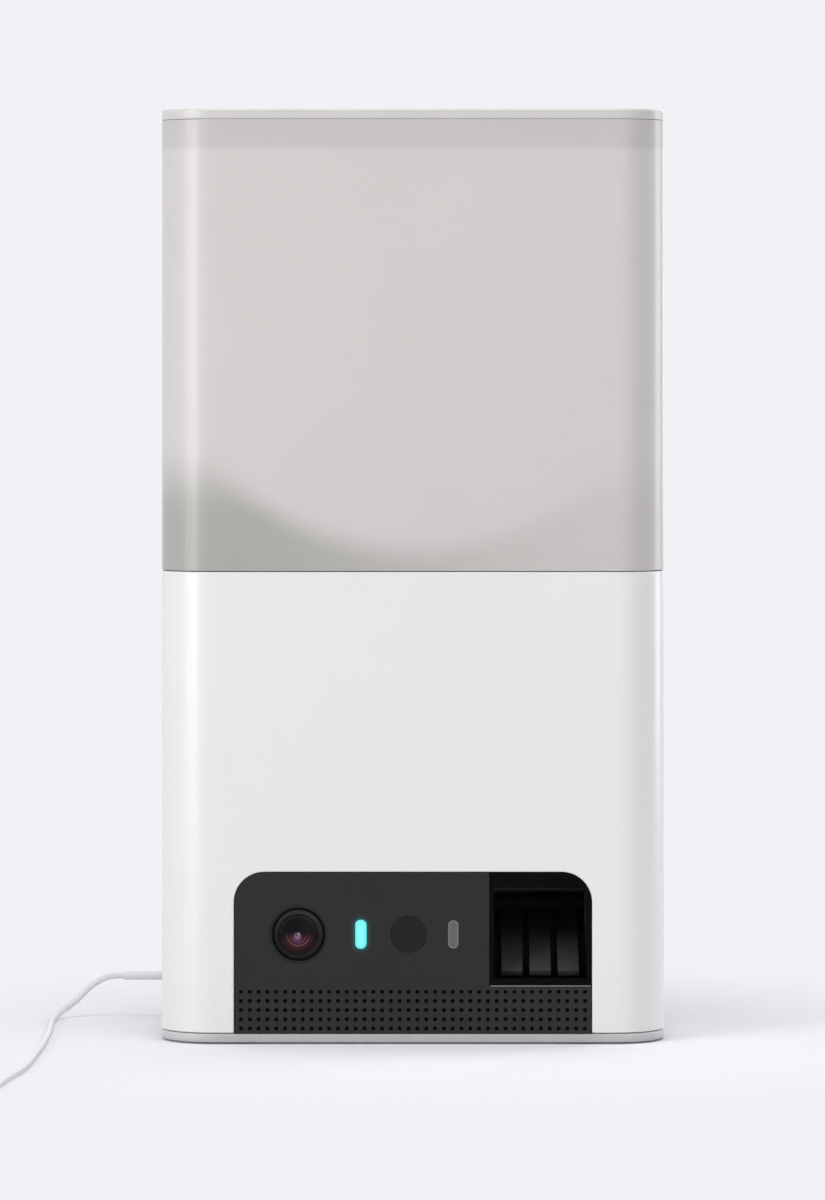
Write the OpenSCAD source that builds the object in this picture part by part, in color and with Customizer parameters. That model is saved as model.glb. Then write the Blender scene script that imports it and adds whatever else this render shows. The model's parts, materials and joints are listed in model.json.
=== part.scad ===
// Treat tossing pet camera: a white body with a black camera panel, a frosted treat container on top,
// a wheel that portions treats and a sprung paddle that tosses them out of the front.
// Front faces -Y, +X is to the right, +Z is up, and the origin is at the middle of the footprint.

/* [Body] */
// Width of the body, left to right
body_w = 133; // [131:0.5:145]
// Depth of the body, front to back
body_d = 76; // [75:0.5:86]
// Height from the table to the top of the lid
body_h = 246; // [225:1:280]
// Radius of the four upright corners
corner_r = 14; // [12:0.5:17]
// Wall of the white shell
shell_wall = 2.4; // [2:0.1:2.8]
// Height of the seam between the white body and the treat container
seam_z = 124.1; // [118:0.5:140]
// Gap that shows at a seam between two casings
seam_gap = 0.2; // [0.1:0.05:0.4]

/* [Base] */
// Height of the grey base band above the table
base_h = 2.8; // [2.4:0.1:3.4]
// How far the base stays off the table on its feet
base_lift = 0.5; // [0.3:0.1:0.8]
// Radius of a round foot pad
foot_r = 5; // [4:0.5:6]
// Sideways distance of a foot from the middle
foot_x = 44; // [36:1:48]
// Depth of a foot pad's recess in the base
foot_recess = 0.9; // [0.6:0.1:1.2]
// Radius of the corner posts that carry the deck
post_r = 4.6; // [4.4:0.1:5.2]
// How far a corner post stands in from the body's outside, along X and Y
post_inset = 8.7; // [8.5:0.1:9.2]
// Radius of a base screw's shank
screw_r = 1.3; // [1:0.1:1.5]
// Radius of a screw's head
screw_head_r = 2.5; // [2.2:0.1:2.8]
// Height of a screw's head
screw_head_h = 1.1; // [0.8:0.1:1.2]
// Length of a screw's shank
screw_len = 8; // [6:0.5:10]

/* [Treat container] */
// Wall of the frosted container
container_wall = 2.2; // [1.8:0.1:2.6]
// Radius of the curved floor that treats slide down
bowl_r = 67.5; // [66:0.5:75]
// Height of the floor's lowest line above the seam
bowl_rise = 8.4; // [7.5:0.1:12]
// Thickness of the curved floor
bowl_t = 1.8; // [1.4:0.1:2.2]
// Bore of the throat that treats drop through
throat_d = 22; // [18:0.5:23]
// Wall of the throat
throat_wall = 1.8; // [1.4:0.1:2.2]
// Depth of the rim that locates the container in the body
rim_depth = 5; // [3:0.5:5.5]
// Thickness of the locating rim
rim_t = 1.6; // [1.2:0.1:2]

/* [Lid] */
// Thickness of the lid
lid_t = 2.7; // [2.2:0.1:3.5]
// Depth of the lid's skirt inside the container
lid_skirt_h = 7.6; // [6:0.2:12]
// Thickness of the lid's skirt
lid_skirt_t = 1.8; // [1.4:0.1:2.4]
// Thickness of the silicone seal round the skirt
seal_t = 1; // [0.8:0.1:1.4]
// Height of the silicone seal
seal_h = 2.4; // [1.6:0.2:3.4]

/* [Front panel] */
// Width of the black panel
panel_w = 94.1; // [93.6:0.1:96]
// Height of the panel's top edge above the table
panel_top = 45.3; // [45:0.1:47]
// Radius of the panel's upper corners
panel_r = 8; // [6:0.5:9]
// Width of the lip that holds the panel behind the shell
panel_lip = 2.4; // [1.6:0.1:2.8]
// Thickness of the panel's lip
panel_lip_t = 1.5; // [1.2:0.1:1.8]
// Gap between the panel and the shell's opening
panel_fit = 0.15; // [0.1:0.05:0.25]

/* [Camera and lights] */
// Lens position to the right of the middle
lens_x = -30.1; // [-31:0.1:-29]
// Height of the lens and lights above the table
lens_z = 28.9; // [28:0.1:29.5]
// Radius of the black ring round the lens
bezel_r = 6.95; // [6.9:0.05:7.2]
// Radius of the shallow dish in the panel round the ring
dish_r = 7.75; // [7.5:0.05:8.2]
// Radius of the lens barrel's front
barrel_r = 6.5; // [6.1:0.05:6.55]
// Radius of the front glass
glass_r = 5.25; // [4.9:0.05:5.4]
// Position of the blue status light
status_x = -13.7; // [-14.5:0.1:-13]
// Position of the round infrared window
infrared_x = -1.2; // [-2:0.1:0]
// Radius of the round infrared window
infrared_r = 4.75; // [4.3:0.05:5]
// Position of the grey light bar
sensor_x = 10.6; // [10:0.1:11.5]
// Width of a light bar
light_w = 2.95; // [2.6:0.05:3.2]
// Height of a light bar
light_h = 7.6; // [7:0.1:8.2]

/* [Speaker grille] */
// Rows of holes in the grille
grille_rows = 5; // [3:1:5]
// Holes in a row
grille_columns = 40; // [30:1:40]
// Distance between rows
grille_pitch_z = 2.4; // [2.2:0.05:2.5]
// Distance between holes in a row
grille_pitch_x = 2.317; // [2:0.01:2.35]
// Height of the lowest row above the base band
grille_rise = 1.4; // [1.3:0.05:1.6]
// Diameter of a grille hole
grille_hole_d = 1.1; // [0.8:0.05:1.3]
// Thickness of the panel at the grille
grille_wall = 1.2; // [1:0.1:1.6]

/* [Toss chamber] */
// Outside width of the treat outlet
mouth_w = 26.7; // [26:0.1:27.5]
// Height of the outlet's lower edge above the table
mouth_z = 15.5; // [15.3:0.1:16]
// Wall of the toss chamber
chamber_wall = 1.1; // [1:0.05:1.4]
// Distance of the paddle's shaft behind the front
shaft_back = 31; // [30:0.2:32]
// Height of the paddle's shaft above the table
shaft_z = 34.2; // [34:0.1:34.8]
// Slope of the paddle at rest, in degrees
paddle_slope = 32; // [31:0.5:33]
// Length of the paddle from its shaft
paddle_len = 30.2; // [28:0.2:30.6]
// Thickness of a paddle bar
paddle_t = 2; // [1.6:0.1:2.2]
// Width of a paddle bar
bar_w = 5.7; // [5:0.1:6]
// Distance between paddle bars, middle to middle
bar_pitch = 7.5; // [6.8:0.1:7.8]
// Radius of the steel paddle shaft
shaft_r = 1.5; // [1.2:0.1:1.6]
// Radius of the paddle's hub
hub_r = 2.7; // [2.4:0.1:2.9]

/* [Portion wheel] */
// Number of treat pockets in the wheel
pocket_count = 4; // [2:1:4]
// Diameter of a treat pocket
pocket_d = 20; // [16:0.5:21]
// Height of the wheel
wheel_h = 13.5; // [11:0.5:15]
// Height of the gear teeth round the wheel
gear_h = 5; // [4:0.5:6]
// Radius of the wheel's steel shaft
wheel_shaft_r = 2; // [1.5:0.1:2.5]
// Teeth on the portion wheel
wheel_teeth = 60; // [60:1:60]
// Teeth on the idler gear
idler_teeth = 20; // [20:1:20]
// Teeth on the motor's pinion
pinion_teeth = 15; // [15:1:15]
// Thickness of the deck that carries the wheel
deck_t = 2.5; // [2:0.1:3]
// Thickness of the cover over the wheel
cover_t = 2; // [1.6:0.1:2.4]

/* [Gears and motors] */
// Tooth module of every gear
gear_module = 1; // [0.98:0.005:1.01]
// Play between meshing teeth, measured along the pitch circle
tooth_play = 0.24; // [0.2:0.02:0.3]
// Extra distance between the shafts of meshing gears
mesh_gap = 0.14; // [0.1:0.02:0.2]
// Width of a gear motor
motor_w = 12; // [10:0.5:12]
// Thickness of a gear motor
motor_t = 10; // [9:0.5:10.5]
// Length of a gear motor
motor_len = 24; // [20:0.5:24.2]
// Running clearance round a turning shaft
running_fit = 0.06; // [0.04:0.01:0.1]

/* [Power and reset] */
// Height of the power cord's plug above the table
power_z = 11.1; // [10.8:0.1:11.4]
// Distance of the power plug in front of the back
power_back = 8; // [7.8:0.1:8.2]
// Radius of the power cord
cord_r = 0.85; // [0.7:0.05:0.85]
// Radius of the sleeve that guards the cord at its plug
sleeve_r = 1.15; // [1.05:0.05:1.3]
// Radius of the reset button
reset_r = 2.6; // [2:0.1:3]
// Travel of the reset button
reset_travel = 0.8; // [0.5:0.1:1]

/* [Cord coil] */
// Layers of loops in the coil
coil_layers = 4; // [2:2:4]
// Loops in a layer
coil_layer_loops = 6; // [4:1:6]
// Distance between neighbouring loops, along and across the layers
coil_pitch = 2.15; // [2.15:0.01:2.3]
// Outer radius of the coil, to the middle of the cord
coil_r = 16.65; // [16.65:0.05:17.5]

/* [Hidden] */
$fn = 64;
eps = 0.01;                                        // Overshoot of a cut past a face

front_y = -body_d / 2;
back_y = body_d / 2;
inner_x = body_w / 2 - shell_wall;
inner_back = back_y - shell_wall;
post_x = body_w / 2 - post_inset;
post_y = body_d / 2 - post_inset;

// Stack of the portioning parts, from the seam down
cover_drop = 1.5;                                  // Cover's top below the seam
wheel_gap = 0.3;                                   // Running gap above and below the wheel
cover_top = seam_z - cover_drop;
cover_z = cover_top - cover_t;
wheel_z = cover_z - wheel_gap - wheel_h;
deck_top = wheel_z - wheel_gap;
deck_z = deck_top - deck_t;
deck_fit = 0.3;                                    // Gap round the deck inside the shell

// Container and lid
bowl_axis_z = seam_z + bowl_rise + bowl_r;
bowl_under_r = bowl_r + bowl_t;
lid_z = body_h - lid_t;
container_top = lid_z - seam_gap;
rim_fit = 0.3;                                     // Gap round the locating rim
seal_fit = 0.2;                                    // Gap between the seal and the container
rim_inset = shell_wall + rim_fit;
throat_r = throat_d / 2;
throat_fit = 0.4;                                  // Gap round the throat in its socket
socket_ring_t = 1.8;
socket_ring_h = 4.2;

// Front panel
panel_back = front_y + shell_wall + 0.1;           // Back of the part that fills the opening
lip_back = panel_back + panel_lip_t;
grille_top = base_h + grille_rise + (grille_rows - 1) * grille_pitch_z;
grille_pocket_back = front_y + grille_wall;
pocket_margin = 0.95;                              // Recess behind the grille, past the hole centres
mesh_t = 0.3;

// Camera
bezel_proud = 0.15;
glass_dome_h = 0.9;                                // Bulge of the front glass
holder_w = 16;
camera_board_y = front_y + 19;
board_t = 1.6;
light_board_y = front_y + 11;
light_flange = 0.9;
light_r = light_w / 2 - 0.1;                        // Corner radius of a light bar

// Toss chamber
mouth_right = panel_w / 2 - panel_fit;
mouth_left = mouth_right - mouth_w;
chamber_x = (mouth_left + mouth_right) / 2;
shaft_y = front_y + shaft_back;
floor_z = mouth_z + chamber_wall;
roof_back = front_y + 25.8;                        // Where the roof ends and the drop begins
duct_front = roof_back;
duct_back = roof_back + 25.8;
duct_seat_z = panel_top + 10.7;
paddle_side_x = mouth_left - 3.2;                  // Right face of the paddle's gear sector
sector_t = 5;
sector_teeth = 24;
sector_from = -125;
sector_to = -28;
toss_pinion_teeth = 14;
toss_gear_distance = gear_module * (sector_teeth + toss_pinion_teeth) / 2 + mesh_gap;
toss_motor_z = shaft_z - toss_gear_distance;
bracket_t = 2;
bracket_x = paddle_side_x - sector_t - 0.8;        // Right face of the motor bracket
motor_boss_r = 3;

// Portion wheel: the throat and the drop are opposite each other about the wheel's shaft
throat_x = 0;
drop_x = chamber_x;
wheel_x = (throat_x + drop_x) / 2;
pocket_ring_r = (drop_x - throat_x) / 2;
wheel_pitch_r = gear_module * wheel_teeth / 2;
wheel_body_r = wheel_pitch_r - 1.5 * gear_module;
idler_x = wheel_x - gear_module * (wheel_teeth + idler_teeth) / 2 - mesh_gap;
pinion_x = idler_x - gear_module * (idler_teeth + pinion_teeth) / 2 - mesh_gap;
idler_shaft_r = 1.5;
ring_wall_r = wheel_pitch_r + 1.7 * gear_module;
ring_wall_t = 1.5;
motor_z = wheel_z + gear_h + 0.8;                  // Lower face of the wheel's motor
dome_wall = 1.4;
dome_fit = 0.4;
dome_gap = 0.9;                                    // Gap between the motor dome and the curved floor

// Power and reset
pocket_wall = 1.5;
power_y = back_y - power_back;
port_x = -body_w / 2 + 16.5;                       // Face of the power socket
port_front = power_y - 7.5;
port_low = power_z - 6.3;
port_high = power_z + 6.3;
socket_w = 9;
socket_h = 3.3;
socket_len = 7;
socket_skin = 0.35;
plug_gap = 0.1;
plug_len = 10;
plug_w = 11;
plug_h = 6.4;
sleeve_start = port_x - plug_gap - plug_len;
sleeve_end = sleeve_start - 19;                  // Where the cord comes out of its sleeve
sleeve_taper = 7.5;
main_board_w = 64;
main_board_h = seam_z - 52.1;
main_board_x = 10;
main_board_z = 22;
main_board_y = inner_back - 3;                     // Back face of the main board
main_board_pegs_x = [for (side = [-1, 1]) main_board_x + side * (main_board_w / 2 - 6)];
main_board_pegs_z = [main_board_z + 6, main_board_z + main_board_h - 6];
short_post_x = port_x + 28;                        // Screw post beside the power board
short_post_h = 16;
power_board_t = 1.2;
power_board_z = power_z - socket_h / 2 - power_board_t;
reset_x = port_x + 16;
reset_cap_t = 1.4;

// Everything of the cord is placed from its sleeve's end, and Z is the height above the table.
// Route to the coil: out, down to the table and forward past the body
cord_z = 0.9;
cord_route = [
  [-0.05, 0, power_z], [-2, 0, power_z], [-4.9, 0, power_z - 0.5], [-8.9, -0.3, 8.4], [-12.4, -1.2, 5],
  [-15.5, -3.4, 2.6], [-17.5, -7.5, 1.4], [-18.5, -14, 1], [-18.6, -25, cord_z], [-18.1, -40, cord_z],
  [-17.8, -60, cord_z], [-17.9, -80, cord_z], [-18.2, -98, cord_z], [-18.6, -116, cord_z],
  [-19.7, -134, cord_z], [-21.7, -150, cord_z], [-23.1, -164, cord_z], [-23.5, -172, cord_z],
  [-23.5, -178.3, cord_z]
];
// Route from the coil to the far plug
tail_route = [
  [-55.725, -178.3, 7.35], [-55.725, -176, 7.35], [-55.7, -172, 6.7], [-55.7, -166, 4.8],
  [-55.7, -160, 3.7], [-55.7, -154.4, 3.4], [-55.7, -152, 3.4]
];
route_steps = 3;                                   // Rings between two points of a route
cord_sides = 8;
coil_x = -40.15;
coil_y = -180;
coil_sides = 6;
coil_rings = 24;                                   // Rings in a loop
coil_loops = coil_layers * coil_layer_loops - 0.5;
far_plug_x = -55.7;
far_plug_y = -152;
far_plug_z = 3.4;
far_grip_w = 15;
far_grip_h = 6.6;
far_grip_len = 24;
far_shell_w = 12;
far_shell_h = 4.5;
far_shell_len = 18.7;

// Flat shapes

// A rectangle with four rounded corners
module rounded_rect(w, d, r) {
  square([w - 2 * r, d], center = true);
  square([w, d - 2 * r], center = true);
  for (sx = [-1, 1], sy = [-1, 1]) translate([sx * (w / 2 - r), sy * (d / 2 - r)]) circle(r);
}

// The body's outline, drawn in by an inset
module footprint(inset) {
  rounded_rect(body_w - 2 * inset, body_d - 2 * inset, corner_r - inset);
}

// The panel's outline in X and Z: upright sides and rounded upper corners
module panel_outline(inset) {
  half = panel_w / 2 - inset;
  top = panel_top - inset;
  r = panel_r - inset;
  translate([-half, base_h]) square([2 * half, top - r - base_h]);
  translate([r - half, base_h]) square([2 * (half - r), top - base_h]);
  for (side = [-1, 1]) translate([side * (half - r), top - r]) circle(r);
}

// The outlet's outline in X and Z, which shares the panel's upper right corner
module mouth_outline(inset) {
  intersection() {
    panel_outline(panel_fit + inset);
    translate([mouth_left + inset, mouth_z + inset]) square([mouth_w, panel_top]);
  }
}

// A flat shape in X and Y, raised from z0 to z1
module upright(z0, z1) {
  translate([0, 0, z0]) linear_extrude(z1 - z0) children();
}

// A flat shape in X and Z, carried from y0 back to y1
module along_y(y0, y1) {
  translate([0, y1, 0]) rotate([90, 0, 0]) linear_extrude(y1 - y0) children();
}

// A flat shape in Y and Z, carried from x0 to x1
module along_x(x0, x1) {
  translate([x0, 0, 0]) rotate([90, 0, 90]) linear_extrude(x1 - x0) children();
}

// A round bar along Y
module rod_y(x, z, r, y0, y1) {
  along_y(y0, y1) translate([x, z]) circle(r);
}

// A round bar along X
module rod_x(y, z, r, x0, x1) {
  along_x(x0, x1) translate([y, z]) circle(r);
}

// A block between two corners
module block(low, high) {
  translate(low) cube(high - low);
}

// Gears

// Turn of an involute, in degrees, at radius r from a base circle
function involute_turn(r, base_r) =
  let (roll = sqrt(max(0, (r / base_r) ^ 2 - 1))) roll * 180 / PI - atan(roll);

// One tooth's outline as radius and angle pairs, centred on angle 0
function tooth_half(teeth) =
  let (
    pitch_r = gear_module * teeth / 2,
    base_r = pitch_r * cos(20),
    root_r = pitch_r - 1.15 * gear_module,
    low_r = max(base_r, root_r),
    tip_r = pitch_r + 0.8 * gear_module,
    half = 90 / teeth - tooth_play / 2 / pitch_r * 180 / PI + involute_turn(pitch_r, base_r)
  )
  concat(
    [[root_r, half - involute_turn(low_r, base_r)]],
    [for (i = [0:3]) let (r = low_r + (tip_r - low_r) * i / 3) [r, half - involute_turn(r, base_r)]]
  );

// Outline of a spur gear with a tooth on the X axis
module gear_outline(teeth) {
  half = tooth_half(teeth);
  last = len(half) - 1;
  tooth = concat(
    [for (p = half) [p[0], -p[1]]],
    [for (i = [0:last]) half[last - i]]
  );
  polygon([
    for (k = [0:teeth - 1], p = tooth)
      let (turn = k * 360 / teeth + p[1]) p[0] * [cos(turn), sin(turn)]
  ]);
}

// A small gear motor along Z: gearbox face at z = 0, body towards +Z, and a bore for its output shaft
module gear_motor(shaft) {
  gearbox = motor_len * 0.38;
  difference() {
    union() {
      block([-motor_t / 2, -motor_w / 2, 0], [motor_t / 2, motor_w / 2, gearbox]);
      intersection() {
        upright(gearbox, motor_len) circle(motor_w / 2);
        block([-motor_t / 2, -motor_w / 2, gearbox], [motor_t / 2, motor_w / 2, motor_len]);
      }
    }
    upright(-eps, 4) circle(shaft + running_fit);
  }
}

// Cord

// A point of a smooth curve through four points, from p1 to p2
function curve_point(p0, p1, p2, p3, t) =
  0.5 * (2 * p1 + (p2 - p0) * t + (2 * p0 - 5 * p1 + 4 * p2 - p3) * t ^ 2
    + (3 * p1 - p0 - 3 * p2 + p3) * t ^ 3);

// The smooth curve through a route's points
function smooth_route(p) =
  let (last = len(p) - 1)
  concat(
    [for (i = [0:last - 1], k = [0:route_steps - 1])
      curve_point(p[max(i - 1, 0)], p[i], p[i + 1], p[min(i + 2, last)], k / route_steps)],
    [p[last]]
  );

function unit(v) = v / norm(v);

// The ring of points round a path's point i
function ring(path, i, r, sides) =
  let (
    last = len(path) - 1,
    way = unit(path[min(i + 1, last)] - path[max(i - 1, 0)]),
    side = unit(cross(way, [0, 0, 1])),
    up = cross(side, way)
  )
  [for (k = [0:sides - 1]) path[i] + r * (cos(k * 360 / sides) * side + sin(k * 360 / sides) * up)];

// One closed tube along a path
module tube(path, r, sides) {
  last = len(path) - 1;
  points = [for (i = [0:last], p = ring(path, i, r, sides)) p];
  walls = [
    for (i = [0:last - 1], k = [0:sides - 1])
      let (a = i * sides + k, b = i * sides + (k + 1) % sides)
      each [[a, b, b + sides], [a, b + sides, a + sides]]
  ];
  start = [for (k = [0:sides - 1]) sides - 1 - k];
  end = [for (k = [0:sides - 1]) last * sides + k];
  polyhedron(points, concat([start], walls, [end]));
}

// How far the spiral has come in from the outside after some loops: in on one layer, out on the next
function coil_in(loops) =
  let (span = coil_layer_loops, part = loops - 2 * span * floor(loops / (2 * span)))
  min(part, 2 * span - part);

// Height of the coil: it climbs a layer in the half turn where the spiral reverses
function coil_climb(loops) =
  let (turn = loops / coil_layer_loops, near = round(turn), off = (turn - near) * coil_layer_loops)
  near == 0 || near == coil_layers ? floor(min(turn, coil_layers - 0.5))
    : abs(off) > 0.25 ? floor(turn) : near - 0.5 + 2 * off;

// The coil's path, clockwise from its right side, with a straight end of one cord diameter each way
coil_path = concat(
  [[coil_x + coil_r, coil_y + 2 * cord_r, cord_z]],
  [for (i = [0:coil_loops * coil_rings])
    let (loops = i / coil_rings, r = coil_r - coil_pitch * coil_in(loops), turn = -360 * loops)
    [coil_x + r * cos(turn), coil_y + r * sin(turn), cord_z + coil_pitch * coil_climb(loops)]],
  [[coil_x - coil_r + coil_pitch / 2, coil_y + 2 * cord_r, cord_z + coil_pitch * (coil_layers - 1)]]
);

function sum(v, i = 0) = i < len(v) ? v[i] + sum(v, i + 1) : 0;
function path_length(p) = sum([for (i = [1:len(p) - 1]) norm(p[i] - p[i - 1])]);

// Casings

module treat_container() color([0.84, 0.82, 0.80, 0.75]) {
  inside = container_wall;
  difference() {
    union() {
      upright(seam_z + seam_gap, container_top) footprint(0);
      upright(seam_z - rim_depth, seam_z + seam_gap + eps) footprint(rim_inset);
    }
    // The treat space above the curved floor
    intersection() {
      upright(seam_z, body_h) footprint(inside);
      union() {
        rod_y(0, bowl_axis_z, bowl_r, front_y, back_y);
        upright(bowl_axis_z, body_h) footprint(0);
      }
    }
    // The space below the floor
    difference() {
      upright(seam_z - rim_depth - eps, bowl_axis_z) footprint(rim_inset + rim_t);
      rod_y(0, bowl_axis_z, bowl_under_r, front_y, back_y);
      upright(cover_top + 0.6, bowl_axis_z) translate([throat_x, 0]) circle(throat_r + throat_wall);
    }
    upright(seam_z - rim_depth, bowl_axis_z) translate([throat_x, 0]) circle(throat_r);
  }
}

module lid() color([0.84, 0.84, 0.82]) {
  skirt_inset = container_wall + seal_fit + seal_t;
  upright(lid_z, body_h) footprint(0);
  difference() {
    upright(lid_z - lid_skirt_h, lid_z + eps) footprint(skirt_inset);
    upright(lid_z - lid_skirt_h - eps, lid_z) footprint(skirt_inset + lid_skirt_t);
  }
}

module lid_seal() color([0.62, 0.61, 0.60]) {
  low = lid_z - lid_skirt_h + 1.5;
  difference() {
    upright(low, low + seal_h) footprint(container_wall + seal_fit);
    upright(low - eps, low + seal_h + eps) footprint(container_wall + seal_fit + seal_t);
  }
}

// Places of the screws in the base: three corner posts, and one beside the power port
base_screw_places = [
  [post_x, post_y], [post_x, -post_y], [-post_x, -post_y], [short_post_x, inner_back - post_r + 0.3]
];

module body_shell() color([0.95, 0.95, 0.94]) {
  difference() {
    union() {
      difference() {
        upright(base_h + seam_gap, seam_z) footprint(0);
        upright(base_h, seam_z + eps) footprint(shell_wall);
      }
      // Corner posts under the deck, and the short post beside the power port
      intersection() {
        upright(base_h + seam_gap, seam_z) footprint(1);
        union() {
          for (place = base_screw_places) {
            top = place[0] == short_post_x ? base_h + short_post_h : deck_z;
            upright(base_h + seam_gap, top) translate(place) circle(post_r);
          }
          upright(port_high, deck_z) translate([-post_x, post_y]) circle(post_r);
        }
      }
      // Walls of the power port's pocket
      intersection() {
        upright(base_h + seam_gap, seam_z) footprint(0);
        block([-body_w, port_front - pocket_wall, port_low - pocket_wall],
          [port_x + pocket_wall, body_d, port_high + pocket_wall]);
      }
      // Standoffs for the main board
      for (x = main_board_pegs_x, z = main_board_pegs_z) rod_y(x, z, 2.6, main_board_y, inner_back + eps);
    }
    // Opening for the black panel
    along_y(front_y - 1, front_y + shell_wall + 4) panel_outline(0);
    // Pocket of the power port, open to the left and the back
    block([-body_w, port_front, port_low], [port_x, body_d, port_high]);
    along_x(port_x - eps, port_x + pocket_wall + eps)
      translate([power_y, power_z]) square([socket_w + 0.4, socket_h + 0.4], center = true);
    // Reset button's hole, and the screws' holes
    rod_y(reset_x, power_z, reset_r + 0.2, inner_back - eps, body_d);
    for (place = base_screw_places)
      upright(base_h, base_h + screw_len + 1) translate(place) circle(screw_r);
    for (place = deck_screw_places)
      upright(deck_z - screw_len, deck_z + 1) translate(place) circle(screw_r);
  }
}

module base_plate() color([0.66, 0.66, 0.68]) {
  difference() {
    union() {
      upright(base_lift, base_h) footprint(0);
      // Ribs that locate the shell
      block([short_post_x + post_r + 2, inner_back - 2.2, base_h - eps],
        [post_x - post_r - 4, inner_back - 0.3, base_h + 3]);
      for (side = [-1, 1]) translate([side * (inner_x - 1.3), -8, base_h + 1.5 - eps])
        cube([2, 24, 3], center = true);
      // Posts under the power board
      for (x = [port_x + 6, port_x + 13])
        upright(base_h - eps, power_board_z) translate([x, power_y - 5]) circle(2);
    }
    for (sx = [-1, 1], sy = [-1, 1])
      upright(-1, base_lift + foot_recess) translate([sx * foot_x, sy * (post_y + 0.6)]) circle(foot_r + 0.1);
    for (place = base_screw_places) translate(place) {
      upright(-1, base_h + 1) circle(screw_r + 0.2);
      upright(-1, base_lift + screw_head_h + 0.1) circle(screw_head_r + 0.2);
    }
  }
}

module base_feet() color([0.45, 0.45, 0.47]) {
  for (sx = [-1, 1], sy = [-1, 1])
    upright(0, base_lift + foot_recess) translate([sx * foot_x, sy * (post_y + 0.6)]) circle(foot_r);
}

// A screw standing on its head, its shank up
module screw(head_z) {
  upright(head_z, head_z + screw_head_h) circle(screw_head_r);
  upright(head_z, head_z + screw_head_h + screw_len * 0.8) circle(screw_r);
}

module base_screws() color([0.6, 0.6, 0.62]) {
  for (place = base_screw_places) translate(place) screw(base_lift + 0.1);
}

// Front panel with the camera, lights and grille

module light_slot(x, grow) {
  translate([x, lens_z]) rounded_rect(light_w + 2 * grow, light_h + 2 * grow, light_r + grow);
}

board_pegs = [[lens_x - 11, lens_z + 8.5], [lens_x + 11, lens_z - 8.5]];
light_pegs = [[(status_x + infrared_x) / 2, lens_z - 5.4], [(infrared_x + sensor_x) / 2, lens_z + 5.4]];

module front_panel() color([0.12, 0.12, 0.12]) {
  difference() {
    union() {
      along_y(front_y, panel_back) panel_outline(panel_fit);
      intersection() {
        along_y(panel_back - eps, lip_back) panel_outline(-panel_lip);
        upright(base_h + 0.1, seam_z) footprint(shell_wall + 0.1);
      }
      for (p = board_pegs) rod_y(p[0], p[1], 1.8, lip_back - eps, camera_board_y);
      for (p = light_pegs) rod_y(p[0], p[1], 1.3, lip_back - eps, light_board_y);
    }
    upright(0, base_h + 0.1) footprint(0);
    // Corner that the treat outlet fills
    block([mouth_left - panel_fit, front_y - 1, mouth_z - panel_fit],
      [body_w, lip_back + 1, seam_z]);
    // Lens dish and hole, lights and window
    rod_y(lens_x, lens_z, dish_r, front_y - 1, front_y + 0.35);
    rod_y(lens_x, lens_z, bezel_r + 0.1, front_y, lip_back + 1);
    rod_y(infrared_x, lens_z, infrared_r + 0.05, front_y - 1, lip_back + 1);
    along_y(front_y - 1, lip_back + 1) light_slot(status_x, 0.05);
    along_y(front_y - 1, lip_back + 1) light_slot(sensor_x, 0.05);
    // Grille holes, and the recess behind them
    for (row = [0:grille_rows - 1], column = [0:grille_columns - 1])
      rod_y((column - (grille_columns - 1) / 2) * grille_pitch_x, base_h + grille_rise + row * grille_pitch_z,
        grille_hole_d / 2, front_y - 1, grille_pocket_back + 1, $fn = 16);
    grille_recess(0, grille_pocket_back, lip_back + 1);
  }
}

// The space behind the grille, drawn in by an inset
module grille_recess(inset, y0, y1) {
  half = (grille_columns - 1) / 2 * grille_pitch_x + pocket_margin - inset;
  block([-half, y0, base_h + grille_rise - pocket_margin + inset],
    [half, y1, grille_top + pocket_margin - inset]);
}

module grille_mesh() color([0.08, 0.08, 0.08]) {
  grille_recess(0.1, grille_pocket_back, grille_pocket_back + mesh_t);
}

module speaker() color([0.2, 0.2, 0.22]) {
  face_y = grille_pocket_back + mesh_t;
  low = base_h + grille_rise - pocket_margin + 0.2;
  high = grille_top + pocket_margin - 0.2;
  translate([lens_x + 4, 0, 0]) {
    block([-18, face_y, low], [18, face_y + 4, high]);
    block([-16, face_y + 4 - eps, low + 1], [16, face_y + 9, high - 1]);
    rod_y(0, (low + high) / 2, 3.6, face_y + 9 - eps, face_y + 11);
  }
}

module microphone() color([0.15, 0.35, 0.25]) {
  face_y = grille_pocket_back + mesh_t;
  mid_z = (base_h + grille_rise + grille_top) / 2;
  block([chamber_x - 5, face_y, mid_z - 3.5], [chamber_x + 5, face_y + 1, mid_z + 3.5]);
  rod_y(chamber_x, mid_z, 2, face_y + 1 - eps, face_y + 2.4);
}

module lens_bezel() color([0.06, 0.06, 0.06]) {
  difference() {
    rod_y(lens_x, lens_z, bezel_r, front_y - bezel_proud, lip_back);
    rod_y(lens_x, lens_z, barrel_r + 0.05, front_y - 1, lip_back + 1);
  }
}

module lens_barrel() color([0.35, 0.35, 0.36]) {
  difference() {
    union() {
      rod_y(lens_x, lens_z, barrel_r, front_y + 0.2, front_y + 8);
      rod_y(lens_x, lens_z, 6, front_y + 8 - eps, camera_board_y - 1);
    }
    rod_y(lens_x, lens_z, glass_r + 0.05, front_y, front_y + 2.2);
    rod_y(lens_x, lens_z, 3.4, front_y, camera_board_y);
  }
}

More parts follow.
